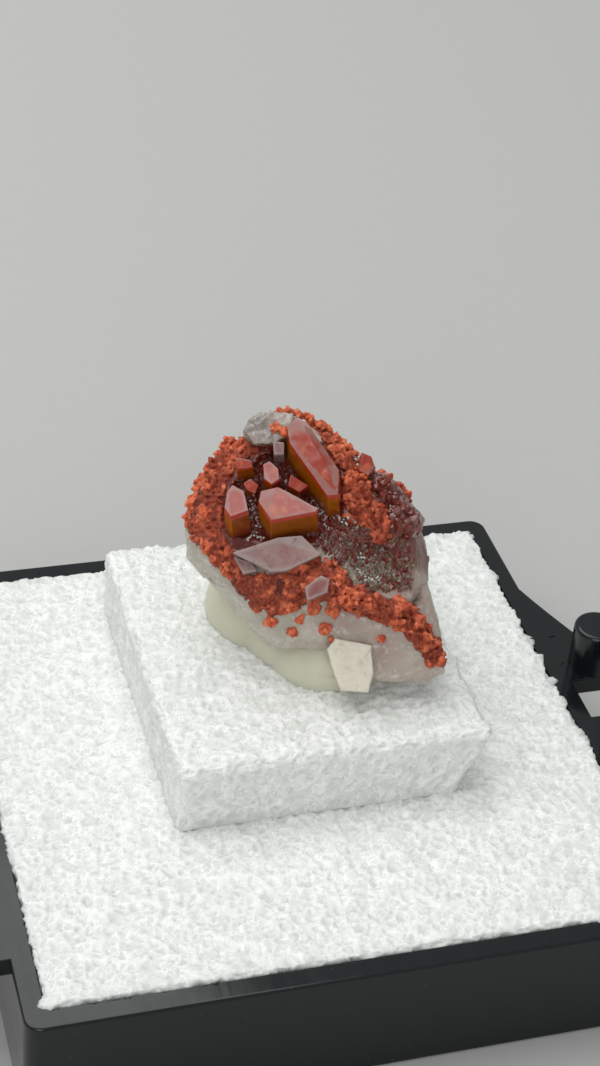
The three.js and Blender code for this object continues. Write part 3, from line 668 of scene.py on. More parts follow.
def fused(solid, voxel):
    """Fuses overlapping solids into one even skin."""
    thing = temporary(*solid)
    step = thing.modifiers.new("fuse", "REMESH")
    step.mode = "VOXEL"
    step.voxel_size = voxel
    return result_of(thing)


def quarter(start, steps=ROUND_STEPS):
    """Pairs (cosine, sine) along a quarter circle, from the given quarter."""
    angles = [(start + k / steps) * math.pi / 2 for k in range(steps + 1)]
    return [(math.cos(a), math.sin(a)) for a in angles]


def loft(rings):
    """A closed solid through rings of equal count, with a flat cap at both ends."""
    count = len(rings[0])
    faces = [tuple(reversed(range(count)))]
    for low in range(0, (len(rings) - 1) * count, count):
        for i in range(count):
            after = (i + 1) % count
            faces.append((low + i, low + after, low + count + after, low + count + i))
    faces.append(tuple(range((len(rings) - 1) * count, len(rings) * count)))
    return [tuple(p) for ring in rings for p in ring], faces


def circle(x, y, radius, count):
    turn = [2 * math.pi * k / count for k in range(count)]
    return [(x + radius * math.cos(t), y + radius * math.sin(t)) for t in turn]


def rounded_square(half, corner, z, steps=7):
    ring = []
    for quarter_turn, (sx, sy) in enumerate(((1, 1), (-1, 1), (-1, -1), (1, -1))):
        for cosine, sine in quarter(quarter_turn, steps):
            ring.append((sx * (half - corner) + corner * cosine, sy * (half - corner) + corner * sine, z))
    return ring


def inset(outline, distance):
    """An outline (anticlockwise) moved inwards."""
    moved = []
    for i, here in enumerate(outline):
        before, after = outline[i - 1], outline[(i + 1) % len(outline)]
        lines = [(Vector(b) - Vector(a)).normalized() for a, b in ((before, here), (here, after))]
        inward = [Vector((-line.y, line.x)) for line in lines]
        both = inward[0] + inward[1]
        moved.append(tuple(Vector(here) + both * distance / max(both.dot(inward[0]), 0.3)))
    return moved


def rounded_slab(outline, low, high, radius):
    """A flat outline raised from low to high, with rounded edges."""
    rings = []
    for cosine, sine in quarter(3):
        rings.append((radius * (1 - cosine), low + radius * (1 + sine)))
    for cosine, sine in quarter(0):
        rings.append((radius * (1 - cosine), high - radius * (1 - sine)))
    return loft([[(x, y, z) for x, y in inset(outline, d)] for d, z in rings])


def place_piece(name, mesh, material, node):
    """Puts a mesh made in millimetres into the scene as a piece that stands for a CAD node."""
    mesh.transform(Matrix.Scale(MM, 4))
    mesh.name = name
    mesh.materials.clear()
    mesh.materials.append(material)
    piece = linked(name, mesh)
    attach(piece, "root")
    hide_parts(node)
    return piece


def smooth(mesh):
    mesh.polygons.foreach_set("use_smooth", [True] * len(mesh.polygons))


def weighted(mesh, sharp_degrees=35):
    """Smooth rounded edges beside flat faces."""
    smooth(mesh)
    mesh.set_sharp_from_angle(angle=math.radians(sharp_degrees))
    thing = linked("temporary", mesh)
    step = thing.modifiers.new("weights", "WEIGHTED_NORMAL")
    step.keep_sharp = True
    return result_of(thing)


# Materials

def shade(rgb, factor):
    return tuple(c * factor for c in rgb)


class Finish:
    """A material of nodes round one Principled shader. Uniform values go on the shader's own sockets."""

    def __init__(self, name, tone, **values):
        self.material = bpy.data.materials.new(name)
        self.material.use_nodes = True
        self.tree = self.material.node_tree
        self.shader = self.tree.nodes["Principled BSDF"]
        for socket, value in values.items():
            self.put(self.shader, socket.replace("_", " "), value)
        self.place = self.tree.nodes.new("ShaderNodeTexCoord").outputs["Object"]
        self.tone = tone

    def put(self, node, socket, value):
        if isinstance(value, bpy.types.NodeSocket):
            self.tree.links.new(value, node.inputs[socket])
        elif node.inputs[socket].type == "RGBA":
            node.inputs[socket].default_value = (*value[:3], 1.0)
        else:
            node.inputs[socket].default_value = value

    def node(self, kind, output=0, inputs=(), **options):
        made = self.tree.nodes.new("ShaderNode" + kind)
        for key, value in options.items():
            setattr(made, key, value)
        for socket, value in dict(inputs).items():
            self.put(made, socket, value)
        return made.outputs[output]

    def noise(self, size, detail=3.0, distortion=0.0, stretch=None):
        """Noise with features of about the given size in millimetres."""
        place = self.node("Mapping", 0, {"Vector": self.place, "Scale": stretch}) if stretch else self.place
        inputs = {"Vector": place, "Scale": 1 / (size * MM), "Detail": detail, "Distortion": distortion}
        return self.node("TexNoise", 0, inputs)

    def cells(self, size, feature="F1", place=None):
        inputs = {"Vector": place or self.place, "Scale": 1 / (size * MM)}
        return self.node("TexVoronoi", "Distance", inputs, feature=feature)

    def warped(self, size, millimetres):
        """The place, pushed about by noise, so that straight patterns turn into curved ones."""
        inputs = {"Vector": self.place, "Scale": 1 / (size * MM), "Detail": 1.0}
        push = self.node("TexNoise", "Color", inputs)
        inputs = {0: push, 1: (millimetres * MM,) * 3, 2: self.place}
        return self.node("VectorMath", 0, inputs, operation="MULTIPLY_ADD")

    def attribute(self, name):
        return self.node("Attribute", "Fac", attribute_name=name)

    def ranged(self, value, low, high, to_low=0.0, to_high=1.0):
        inputs = {"Value": value, "From Min": low, "From Max": high, "To Min": to_low, "To Max": to_high}
        return self.node("MapRange", 0, inputs)

    def maths(self, operation, first, second):
        return self.node("Math", 0, {0: first, 1: second}, operation=operation)

    def over(self, tone, colour, where, low=0.0, high=1.0, most=1.0):
        """A tone with a colour over it: none of it where the value is low, most where it is high."""
        inputs = {0: self.ranged(where, low, high, 0.0, most), 6: tone, 7: colour}
        return self.node("Mix", 2, inputs, data_type="RGBA")

    def lay(self, *layer, **more):
        """Lays a colour over the material's own tone."""
        self.tone = self.over(self.tone, *layer, **more)

    def rough(self, value, to_low, to_high, low=0.3, high=0.7):
        self.put(self.shader, "Roughness", self.ranged(value, low, high, to_low, to_high))

    def bump(self, height, millimetres, strength=1.0):
        inputs = {"Height": height, "Distance": millimetres * MM, "Strength": strength}
        self.put(self.shader, "Normal", self.node("Bump", 0, inputs))

    def absorb(self, rgb, per_millimetre):
        volume = self.node("VolumeAbsorption", 0, {"Color": rgb, "Density": per_millimetre / MM})
        self.tree.links.new(volume, self.tree.nodes["Material Output"].inputs["Volume"])

    def done(self):
        self.put(self.shader, "Base Color", self.tone)
        return self.material


def black_plastic(settings):
    finish = Finish("black_plastic", settings.plastic, IOR=1.52, Specular_IOR_Level=0.4)
    haze = finish.noise(2.4, 4.0)
    wipe = finish.noise(0.5, 2.0, 0.4, (1.0, 0.07, 1.0))
    dust = finish.cells(0.7)
    finish.lay((0.1, 0.1, 0.1), dust, 0.06, 0.03, 0.5)
    finish.rough(finish.maths("MULTIPLY", haze, wipe), 0.07, 0.2, 0.1, 0.45)
    finish.bump(wipe, 0.006, 0.35)
    return finish.done()


def white_foam(settings, name):
    finish = Finish(
        name, settings.white, IOR=1.45, Roughness=0.4, Subsurface_Weight=0.4, Subsurface_Scale=0.0014,
        Subsurface_Radius=(1.0, 1.0, 1.0), Specular_IOR_Level=0.5,
    )
    # Painted shade: the cells are darker by how deep they are
    finish.lay(settings.pit, finish.attribute("pit"))
    # Painted highlight: the thin cell walls are lighter, as glints
    finish.lay(settings.film, finish.attribute("film"), most=0.6)
    # Painted highlight: curved bright lines of glinting cell walls
    for size in (0.55, 0.32):
        edge = finish.cells(size, "DISTANCE_TO_EDGE", finish.warped(size, size))
        line = finish.ranged(edge, 0.0, 0.075, 1.0, 0.0)
        torn = finish.ranged(finish.noise(size * 1.6, 0.0), 0.45, 0.55)
        finish.lay(settings.film, finish.maths("MULTIPLY", line, torn))
    finish.bump(finish.noise(0.12, 1.0), 0.03, 0.5)
    return finish.done()


def mineral_putty(settings):
    finish = Finish(
        "mineral_putty", settings.putty, Roughness=0.42, IOR=1.46, Subsurface_Weight=0.5,
        Subsurface_Scale=0.0009, Subsurface_Radius=(1.0, 0.95, 0.7),
    )
    finish.lay(shade(settings.putty, 0.92), finish.noise(2.6, 3.0), 0.35, 0.7)
    # Painted shade: darker in the putty's creases and hollows
    finish.lay((0.5, 0.48, 0.36), finish.attribute("dent"))
    finish.bump(finish.noise(0.3, 4.0), 0.02, 0.5)
    return finish.done()


def milky_quartz(settings):
    milky, clear = settings.milky, settings.clear
    finish = Finish(
        "milky_quartz", shade(milky, 0.8), IOR=QUARTZ_IOR, Transmission_Weight=0.3, Subsurface_Weight=0.4,
        Subsurface_Scale=0.0008, Subsurface_Radius=(1.0, 0.85, 0.8),
    )
    cloud = finish.noise(1.5, 5.0, 0.6)
    veins = finish.noise(0.55, 6.0, 1.2)
    fine = finish.noise(0.14, 3.0)
    finish.lay(milky, cloud, 0.38, 0.62)
    finish.lay(settings.blush, finish.attribute("blush"))
    finish.lay((0.84, 0.8, 0.75), veins, 0.55, 0.68, 0.8)
    icy = finish.over(shade(clear, 0.6), shade(clear, 1.2), cloud, 0.35, 0.6)
    icy = finish.over(icy, shade(clear, 1.7), fine, 0.52, 0.7, 0.6)
    finish.lay(icy, finish.attribute("clear"))
    smoky = finish.over(settings.smoke, (0.26, 0.11, 0.09), fine, 0.42, 0.62)
    finish.lay(smoky, finish.attribute("smoke"))
    frost = finish.over((0.48, 0.44, 0.36), (0.22, 0.18, 0.12), fine, 0.4, 0.6)
    finish.lay(frost, finish.attribute("frost"))
    speck = finish.ranged(veins, 0.3, 0.7, -0.3, 0.3)
    finish.lay(settings.stain, finish.maths("ADD", finish.attribute("stain"), speck), 0.25, 0.7)
    finish.rough(cloud, 0.16, 0.36)
    finish.bump(finish.maths("ADD", veins, finish.cells(0.3)), 0.03, 0.5)
    return finish.done()


def red_quartz(settings):
    """The big faces are red under a pale haze that is partly painted sheen, with painted glow inside. The
    sides are amber, partly painted glow of light coming through, with a red rim, a dark foot and painted
    shade where they face right.
    """
    finish = Finish(
        "red_quartz", settings.veil_and_sheen, IOR=QUARTZ_IOR, Transmission_Weight=0.35, Subsurface_Weight=0.5,
        Subsurface_Scale=0.0006, Subsurface_Radius=(1.0, 0.4, 0.15),
    )
    patch = finish.noise(0.9, 3.0, 0.8)
    cloud = finish.noise(0.5, 4.0, 0.5)
    fleck = finish.noise(0.24, 4.0, 0.5)
    core = finish.attribute("core")
    drop = finish.attribute("drop")
    uneven = finish.maths("ADD", core, finish.ranged(patch, 0.3, 0.7, -0.55, 0.55))
    # Painted sheen: the pale base of the big faces is partly haze; red shows inside it
    finish.lay(settings.red, uneven, 0.0, 0.6)
    # Painted glow: brighter orange-red patches inside the big faces, as light coming through
    glow = finish.maths("MULTIPLY", finish.ranged(cloud, 0.5, 0.66, 0.0, 0.8), core)
    finish.lay((0.78, 0.21, 0.1), glow)
    finish.lay((0.36, 0.2, 0.2), fleck, 0.6, 0.7, 0.4)
    # Painted glow: the sides are bright amber, as light coming through from the big faces, over the quartz's
    # own colour
    side = finish.over(settings.amber_glow, (0.42, 0.07, 0.006), cloud, 0.4, 0.66, 0.6)
    side = finish.over(side, (0.7, 0.1, 0.01), drop, 0.1, 0.03)
    side = finish.over(side, (0.2, 0.012, 0.005), drop, 0.35, 0.75)
    # Painted shade: sides that face right are darker
    side = finish.over(side, (0.26, 0.03, 0.02), finish.attribute("right"))
    finish.lay(side, finish.attribute("side"))
    finish.lay((0.55, 0.045, 0.012), finish.attribute("rim"))
    finish.rough(fleck, 0.06, 0.16)
    finish.absorb((0.95, 0.35, 0.08), 0.3)
    finish.bump(finish.maths("ADD", patch, finish.cells(0.5)), 0.02, 0.3)
    return finish.done()


def pale_quartz(settings):
    """A mauve heart, pale edges and dark flecks."""
    finish = Finish(
        "pale_quartz", shade(settings.pale, 0.72), IOR=QUARTZ_IOR, Transmission_Weight=0.4,
        Subsurface_Weight=0.4, Subsurface_Scale=0.0006, Subsurface_Radius=(1.0, 0.75, 0.7),
    )
    within = finish.noise(0.8, 5.0, 1.0)
    fleck = finish.noise(0.2, 4.0, 0.5)
    core = finish.attribute("core")
    finish.lay(settings.pale, within, 0.4, 0.62)
    finish.lay((0.64, 0.55, 0.52), core, 0.7, 0.1, 0.45)
    blush = finish.ranged(finish.noise(1.3, 2.0), 0.4, 0.58, 0.1, 0.9)
    finish.lay((0.4, 0.13, 0.12), finish.maths("MULTIPLY", blush, core))
    finish.lay((0.28, 0.1, 0.09), fleck, 0.6, 0.7, 0.7)
    finish.rough(fleck, 0.1, 0.22)
    finish.absorb((0.8, 0.7, 0.7), 0.1)
    finish.bump(finish.maths("ADD", within, finish.cells(0.4)), 0.02, 0.35)
    return finish.done()


def iron_crust(settings):
    crust = settings.crust
    finish = Finish(
        "iron_crust", crust, Roughness=0.55, IOR=1.5, Specular_IOR_Level=0.3, Subsurface_Weight=0.2,
        Subsurface_Scale=0.0003, Subsurface_Radius=(1.0, 0.35, 0.2),
    )
    tone = finish.attribute("tone")
    bright = tuple(min(1.0, c * k) for c, k in zip(crust, (1.35, 1.9, 2.1)))
    finish.lay(shade(crust, 0.8), finish.noise(0.9, 3.0), 0.35, 0.7)
    finish.lay(bright, tone, 0.5, 1.0, 0.8)
    finish.lay((0.4, 0.05, 0.025), tone, 0.2, 0.0, 0.7)
    # Painted shade: darker in the lower crumbs, the gaps between lumps and the hollows
    for name, most in (("deep", 1.0), ("pore", 0.75)):
        finish.lay((0.16, 0.016, 0.008), finish.attribute(name), most=most)
    finish.bump(finish.noise(0.06, 4.0), 0.025, 0.8)
    return finish.done()


def druse_quartz():
    finish = Finish(
        "druse_quartz", (0.22, 0.02, 0.012), IOR=QUARTZ_IOR, Transmission_Weight=0.35, Roughness=0.08,
        Subsurface_Weight=0.3, Subsurface_Scale=0.0002, Subsurface_Radius=(1.0, 0.7, 0.6),
    )
    finish.lay((0.26, 0.055, 0.035), finish.noise(0.5, 3.0), 0.4, 0.6)
    kind = finish.attribute("kind")
    # The near-white tone of the crumbs is partly painted glint
    for start, rgb in DRUSE_TONES:
        finish.lay(rgb, kind, start, start + 0.03)
    finish.bump(finish.noise(0.08, 2.0), 0.006, 0.4)
    return finish.done()


def cream_flake(settings):
    finish = Finish(
        "cream_flake", shade(settings.flake, 0.88), IOR=QUARTZ_IOR, Subsurface_Weight=0.5,
        Subsurface_Scale=0.0008, Subsurface_Radius=(1.0, 0.9, 0.75), Transmission_Weight=0.1,
    )
    band = finish.noise(0.7, 4.0, 1.0, (1.0, 1.0, 2.5))
    finish.lay(settings.flake, band, 0.35, 0.65)
    finish.rough(band, 0.25, 0.45)
    finish.bump(band, 0.03, 0.4)
    return finish.done()


def pale_floor(settings):
    finish = Finish("pale_floor", settings.floor, Roughness=0.85)
    paper = finish.noise(1.2, 4.0)
    finish.lay(shade(settings.floor, 0.97), paper)
    finish.bump(paper, 0.01, 0.1)
    return finish.done()


# Tray

def tray_shell(side, height, wall, floor):
    """The open box, from the middle of its underside, over the rim and down to its floor."""
    outer = [(TRAY_BEVEL * (1 - c), TRAY_BEVEL * (1 + s)) for c, s in quarter(3)]
    outer += [(TRAY_BEVEL * (1 - c), height - TRAY_BEVEL * (1 - s)) for c, s in quarter(0)]
    rings = [rounded_square(side / 2 - d, TRAY_CORNER - d, z) for d, z in outer]
    half, corner = side / 2 - wall, TRAY_CORNER / 2
    for c, s in quarter(1):
        d = INNER_BEVEL - INNER_BEVEL * (1 + c)
        rings.append(rounded_square(half + d, corner + d, height - INNER_BEVEL * (1 - s)))
    for c, s in reversed(quarter(3)):
        d = INNER_BEVEL * (1 - c)
        rings.append(rounded_square(half - d, corner - d, floor + INNER_BEVEL * (1 + s)))
    return loft(rings)


def ledge_outline(side, wall, reach):
    root = -(side / 2 - wall * LEDGE_ROOT)
    half, corner = THUMB_LEDGE["half"], THUMB_LEDGE["corner"]
    outline = [(root, -half), (root, half)]
    outline += [(-reach + corner + corner * c, half - corner + corner * s) for c, s in quarter(1, 6)]
    outline += [(-reach + corner + corner * c, -half + corner + corner * s) for c, s in quarter(2, 6)]
    return outline


def flange_outline(side, wall, reach, mirror):
    root = side / 2 - wall * LEDGE_ROOT
    end = Vector((reach, HINGE_POST["at"][1]))
    bend = Vector(HINGE_EAR["bend"])
    far = Vector((side / 2, HINGE_EAR["far"]))
    curve = [end.lerp(bend, k / 12).lerp(bend.lerp(far, k / 12), k / 12) for k in range(13)]
    outline = [(root, HINGE_EAR["near"]), (reach, HINGE_EAR["near"])]
    outline += [tuple(p) for p in curve] + [(root, HINGE_EAR["far"])]
    if mirror < 0:
        outline = [(x, -y) for x, y in reversed(outline)]
    return outline


def hinge_post(low, top, mirror, sides=48):
    x, y = HINGE_POST["at"]
    radius, corner = HINGE_POST["radius"], HINGE_POST["round"]
    rings = [(radius, low)] + [(radius - corner * (1 - c), top - corner * (1 - s)) for c, s in quarter(0)]
    return loft([[(*p, z) for p in circle(x, y * mirror, r, sides)] for r, z in rings])


def flange_marks(top):
    """The faint moulding marks on a hinge flange: a ring and a small plate."""
    x, y, radius = FLANGE_MARKS["ring"]
    low, high = top - SUNK, top + FLANGE_MARKS["height"]
    px, py, width, depth = FLANGE_MARKS["plate"]
    signs = ((-1, -1), (1, -1), (1, 1), (-1, 1))
    plate = [(px + sx * width, py + sy * depth) for sx, sy in signs]
    outlines = circle(x, y, radius, 32), plate
    return [rounded_slab(outline, low, high, FLANGE_MARKS["round"]) for outline in outlines]


def build_tray(settings):
    names = ("side", "height", "wall", "floor", "reach", "rim", "post_top")
    side, height, wall, floor, reach, rim, top = (getattr(settings, name) / MM for name in names)
    low = height - rim
    parts = [rounded_slab(ledge_outline(side, wall, reach), low, height, LEDGE_ROUND)]
    for mirror in (1, -1):
        flange = flange_outline(side, wall, reach, mirror)
        parts.append(rounded_slab(flange, low, height, LEDGE_ROUND))
        parts.append(hinge_post(low + SUNK, top, mirror))
    parts += flange_marks(height)
    mesh = combined(tray_shell(side, height, wall, floor), parts, "UNION")
    return place_piece("black_tray", weighted(mesh), black_plastic(settings), "tray")


# Foam

def foam_block(x, y, top, layers, step):
    """A close grid on top and sides in layers: its points, its faces, and each layer's row of points."""
    counts = [int(round((span[1] - span[0]) / step)) for span in (x, y)]
    lines = [np.linspace(*span, count + 1) for span, count in zip((x, y), counts)]
    gx, gy = np.meshgrid(*lines, indexing="ij")
    cap = np.stack([gx.ravel(), gy.ravel(), np.full(gx.size, top)], axis=1)
    index = np.arange(gx.size).reshape(gx.shape)
    corners = [index[:-1, :-1], index[1:, :-1], index[1:, 1:], index[:-1, 1:]]
    faces = [np.stack(corners, axis=-1).reshape(-1, 4)]
    blocks = [cap]
    rows = [np.concatenate([index[:-1, 0], index[-1, :-1], index[:0:-1, -1], index[0, :0:-1]])]
    for height in layers:
        row = cap[rows[0]].copy()
        row[:, 2] = height
        rows.append(np.arange(len(row)) + sum(len(block) for block in blocks))
        blocks.append(row)
    for high, low in zip(rows, rows[1:]):
        faces.append(np.stack([low, np.roll(low, -1), np.roll(high, -1), high], axis=-1))
    faces = [tuple(face) for face in np.concatenate(faces).tolist()]
    faces.append(tuple(reversed(rows[-1].tolist())))
    return np.concatenate(blocks), faces, rows


def foam_mesh(x, y, bottom, top, settings, layers, corner, undercut=0.0, seed=1, overhang=0.0):
    """A block of cut foam with a ragged rounded edge, and pits where its cells were cut."""
    points, faces, rows = foam_block(x, y, top, layers, settings.grid / MM)
    low, high = (x[0] + corner, y[0] + corner, bottom), (x[1] - corner, y[1] - corner, top - corner)
    middle = np.clip(points, low, high)
    away = points - middle
    away /= np.linalg.norm(away, axis=1)[:, None]
    depth, film, pit = foam_relief(points, settings, seed)
    free = smoothstep(bottom, bottom + 0.5, points[:, 2])
    at_edge = 2 * away[:, 2] * np.hypot(away[:, 0], away[:, 1])
    ragged = FOAM_EDGE["ragged"] * layered(points, FOAM_EDGE["size"], seed + 60) * at_edge
    moved = middle + away * (corner + (ragged - depth) * free)[:, None]
    if overhang:
        loose = smoothstep(0.15, 0.75, layered(points, FOAM_EDGE["size"], seed + 31)) * overhang
        near_edge = np.zeros(len(points))
        near_edge[np.concatenate(rows[:2])] = 1
        moved[:, :2] += away[:, :2] * (loose * near_edge)[:, None]
    moved[:, 0] -= undercut * (top - moved[:, 2]) * (moved[:, 0] - x[0]) / ((top - bottom) * (x[1] - x[0]))
    mesh = mesh_of("foam", moved.tolist(), faces)
    smooth(mesh)
    # Painted highlight on the thin cell walls
    paint(mesh, "film", film)
    # Painted shade in the cells, by their depth
    paint(mesh, "pit", pit)
    return mesh


def foam_relief(points, settings, seed):
    """How deep the cut surface lies at each point, where the cell walls stand (painted lighter as a
    highlight), and how deep the cell is (painted darker as shade).
    """
    size, depth = settings.cell / MM, settings.depth / MM
    warp = np.stack([noise(points, 0.6, seed + 20 + k) for k in range(3)], axis=1) * 0.2
    bowl, film = 0, 0
    for scale, share, k in ((1.0, 0.6, 0), (0.5, 0.4, 50)):
        near, second, nearest = cells(points + warp, size * scale, seed + k)
        gap = second - near
        bowl = bowl + share * smoothstep(0.03, 0.45, gap) * (0.25 + 0.75 * lattice(nearest, seed + 3 + k))
        torn = smoothstep(-0.35, 0.45, noise(points, size * 0.9, seed + 9 + k))
        film = np.maximum(film, np.exp(-(gap / 0.15) ** 2) * torn * (1.15 - 0.4 * (scale < 1)))
    uneven = 0.5 + 0.5 * layered(points, 2.2, seed + 40)
    return depth * (1.3 * bowl - 0.5 * film) + 0.1 * uneven, film, bowl


def build_liner(settings, tray):
    half = settings.side / MM / 2
    floor, top = tray.floor / MM, settings.liner_top / MM
    corner, span = LINER["corner"], (-half, half)
    layers = [top - corner, top - LINER["second_layer"], floor]
    mesh = foam_mesh(span, span, floor, top, settings, layers, corner, seed=3, overhang=LINER["overhang"])
    piece = place_piece("foam_liner_cut", mesh, white_foam(settings, "white_foam"), "foam_liner")
    return piece


def build_riser(settings):
    bottom, top = settings.liner_top / MM - FOAM_PIT / 2, settings.riser_top / MM
    layer, spans = RISER["layer"], (RISER["x"], RISER["y"])
    layers = np.arange(top - layer, bottom + 0.05, -layer).tolist() + [bottom]
    mesh = foam_mesh(*spans, bottom, top, settings, layers, RISER["corner"], RISER["undercut"], seed=9)
    finish = white_foam(settings, "white_foam_riser")
    piece = place_piece("foam_riser_cut", mesh, finish, "foam_riser")
    return piece


# Stone

def posed(place, turn, tilt, roll):
    """A frame turned about the upright, tilted to face upwards and rolled about the way it faces."""
    across = Vector((math.cos(turn), math.sin(turn), 0))
    out = Vector((math.sin(turn) * math.cos(tilt), -math.cos(turn) * math.cos(tilt), math.sin(tilt)))
    basis = Matrix((across, out.cross(across), out)).transposed().to_4x4()
    return Matrix.Translation(place) @ basis @ Matrix.Rotation(roll, 4, "Z")


def stone_matrix():
    """From the stone's own frame to the tray's, in millimetres."""
    return posed(STONE_CENTRE, STONE_TURN, STONE_TILT, STONE_ROLL)


def place_stone(name, mesh, material):
    """Puts a mesh made in the stone's own frame into the scene, as a piece of the stone."""
    mesh.transform(stone_matrix())
    return place_piece(name, mesh, material, "quartz_cluster")


def inside(points, outline):
    """Whether each [across, up] lies inside an outline."""
    within = np.zeros(len(points), dtype=bool)
    a, u = points[:, 0], points[:, 1]
    for (ax, ay), (bx, by) in zip(outline, outline[1:] + outline[:1]):
        crosses = (ay > u) != (by > u)
        if ay != by:
            within ^= crosses & (a < (bx - ax) * (u - ay) / (by - ay) + ax)
    return within


def distance_to(points, outline):
    """How far each [across, up] is from an outline, negative inside it."""
    nearest = np.full(len(points), FAR)
    for start, end in zip(outline, outline[1:] + outline[:1]):
        start, line = np.array(start), np.subtract(end, start)
        t = np.clip((points[:, :2] - start) @ line / (line @ line), 0, 1)
        nearest = np.minimum(nearest, np.linalg.norm(points[:, :2] - start - t[:, None] * line, axis=1))
    return np.where(inside(points, outline), -nearest, nearest)


def hollow(shape):
    """A tool that cuts a hollow: its floor, and its wider mouth."""
    floor = np.array(shape["floor"])
    middle = floor.mean(axis=0)
    mouth = middle + (floor - middle) * shape["grow"]
    mouth[:, 2] = HOLLOW_MOUTH
    return hull(np.concatenate([floor, mouth]).tolist())


def matrix_mesh(settings):
    """The pale quartz that everything grows from, with its rough lumps, in the stone's frame."""
    blocks = [hull(points) for points in MATRIX_BLOCKS.values()]
    whole = combined(blocks[0], blocks[1:], "UNION")
    cut = combined(solid_of(whole), [hollow(shape) for shape in HOLLOWS], "DIFFERENCE")
    lumps = [crystal_hull(c) for c in CRYSTALS.values() if c["stone"] in ROUGH_STONES]
    mesh = fused(gathered([solid_of(cut), *lumps]), settings.voxel / MM)
    points = points_of(mesh)
    calm = 0.35 + 0.65 * smoothstep(0.35, -0.2, layered(points, 2.4, 91))
    relief = relief_of(points, MATRIX_RELIEF) * calm + on_lumps(points) * relief_of(points, LUMP_RELIEF)
    push_out(mesh, relief * settings.fracture / MM)
    smooth(mesh)
    return mesh


def on_lumps(points):
    """Where the rough lumps are, from 0 to 1."""
    away = [distance_to(points, c["top"]) for c in CRYSTALS.values() if c["stone"] in ROUGH_STONES]
    return smoothstep(0.4, 0.0, np.min(away, axis=0)) * smoothstep(-1.6, -0.8, points[:, 2])


def paint_matrix(mesh):
    """Where the quartz is stained, smoky, frosted or blushed."""
    points, normals = points_of(mesh), normals_of(mesh)
    wander = 0.35 * layered(points, 0.9, 17)
    crust = np.min([distance_to(points, outline) for outline in CRUST_BANDS.values()], axis=0) + wander
    roots = distance_to(points, [p[:2] for p in HOLLOWS[0]["floor"]]) + wander
    clear = smoothstep(0.25, -0.1, distance_to(points, CRYSTALS["clear"]["top"]) + 0.5 * wander)
    front = smoothstep(-0.1, 0.4, normals[:, 2]) * smoothstep(-3.0, -1.5, points[:, 2])
    paint(mesh, "clear", clear * smoothstep(-2.2, -1.4, points[:, 2]))
    stain = np.maximum(smoothstep(0.08, -0.25, crust), smoothstep(1.2, 0.5, roots)) * front * (1 - clear)
    slope = distance_to(points, DRUSE_BANDS[0]["outline"]) + wander
    upper = distance_to(points, UPPER_SLOPE) + wander
    smoke = np.maximum(smoothstep(0.5, -0.4, slope), smoothstep(0.6, -0.2, upper)) * front
    frost = np.linalg.norm((points[:, :2] - FROST["at"]) / FROST["reach"], axis=1) + wander
    blush = smoothstep(-1.5, 1.5, points[:, 0]) * (0.55 + 0.45 * layered(points, 1.6, 23))
    paint(mesh, "stain", stain)
    paint(mesh, "smoke", smoke)
    paint(mesh, "frost", smoothstep(1.1, 0.6, frost) * front)
    paint(mesh, "blush", blush)


def build_matrix(settings):
    mesh = matrix_mesh(settings)
    paint_matrix(mesh)
    return place_stone("quartz_matrix", mesh, milky_quartz(settings))


def matrix_front():
    """Finds the front of the built matrix at [across, up]: the point there and its normal."""
    piece = bpy.data.objects.get("quartz_matrix")
    if piece is None:
        raise RuntimeError("the quartz matrix comes before what grows on it")
    mesh = piece.data.copy()
    mesh.transform(stone_matrix().inverted() @ Matrix.Scale(1 / MM, 4))
    tree = BVHTree.FromPolygons([v.co[:] for v in mesh.vertices], [p.vertices[:] for p in mesh.polygons])
    bpy.data.meshes.remove(mesh)

    def find(a, u):
        point, normal, _, _ = tree.ray_cast(Vector((a, u, ABOVE_STONE)), Vector((0, 0, -1)))
        return point, normal

    return find


def top_height(crystal, points):
    """The height of a crystal's big face at each [across, up]."""
    away = np.subtract(points, np.mean(crystal["top"], axis=0))
    return crystal["middle"] + away @ np.array(crystal["slope"])


def crystal_hull(crystal):
    """The big face's outline, the shoulder below its bevel, and the root, as one solid."""
    top = np.array(crystal["top"])
    away = top - top.mean(axis=0)
    height = top_height(crystal, top)
    foot, bevel = np.array(crystal["foot"], dtype=float), CRYSTAL_BEVEL
    shoulder = np.array([foot[0] * bevel["lean"], foot[1] * bevel["lean"], -bevel["drop"]])
    corners = []
    for wider, shift in ((0, np.zeros(3)), (bevel["spread"], shoulder), (crystal["spread"], foot)):
        ring = top + away * wider / np.linalg.norm(away, axis=1)[:, None]
        corners.extend((np.column_stack([ring, height]) + shift).tolist())
    return hull(corners)


def crystal_solid(crystal):
    """A faceted crystal with fine rounded edges, and a grid on its big face that carries its pale haze and
    painted sheen.
    """
    points, faces = crystal_hull(crystal)
    shape = bmesh.new()
    made = [shape.verts.new(p) for p in points]
    for face in faces:
        shape.faces.new([made[i] for i in face])
    bmesh.ops.dissolve_limit(shape, angle_limit=math.radians(4), verts=shape.verts, edges=shape.edges)
    sharp = [e for e in shape.edges if e.calc_face_angle(0) > math.radians(8)]
    bmesh.ops.bevel(shape, geom=sharp, **EDGE_ROUNDING)
    top = max((f for f in shape.faces if f.normal.z > FACES_OUT), key=lambda f: f.calc_area())
    fan = bmesh.ops.poke(shape, faces=[top])["faces"]
    spokes = list(dict.fromkeys(e for f in fan for e in f.edges))
    bmesh.ops.subdivide_edges(shape, edges=spokes, cuts=VEIL_AND_SHEEN_CUTS, use_grid_fill=True)
    bmesh.ops.triangulate(shape, faces=[f for f in shape.faces if len(f.verts) > 4])
    return taken(shape)


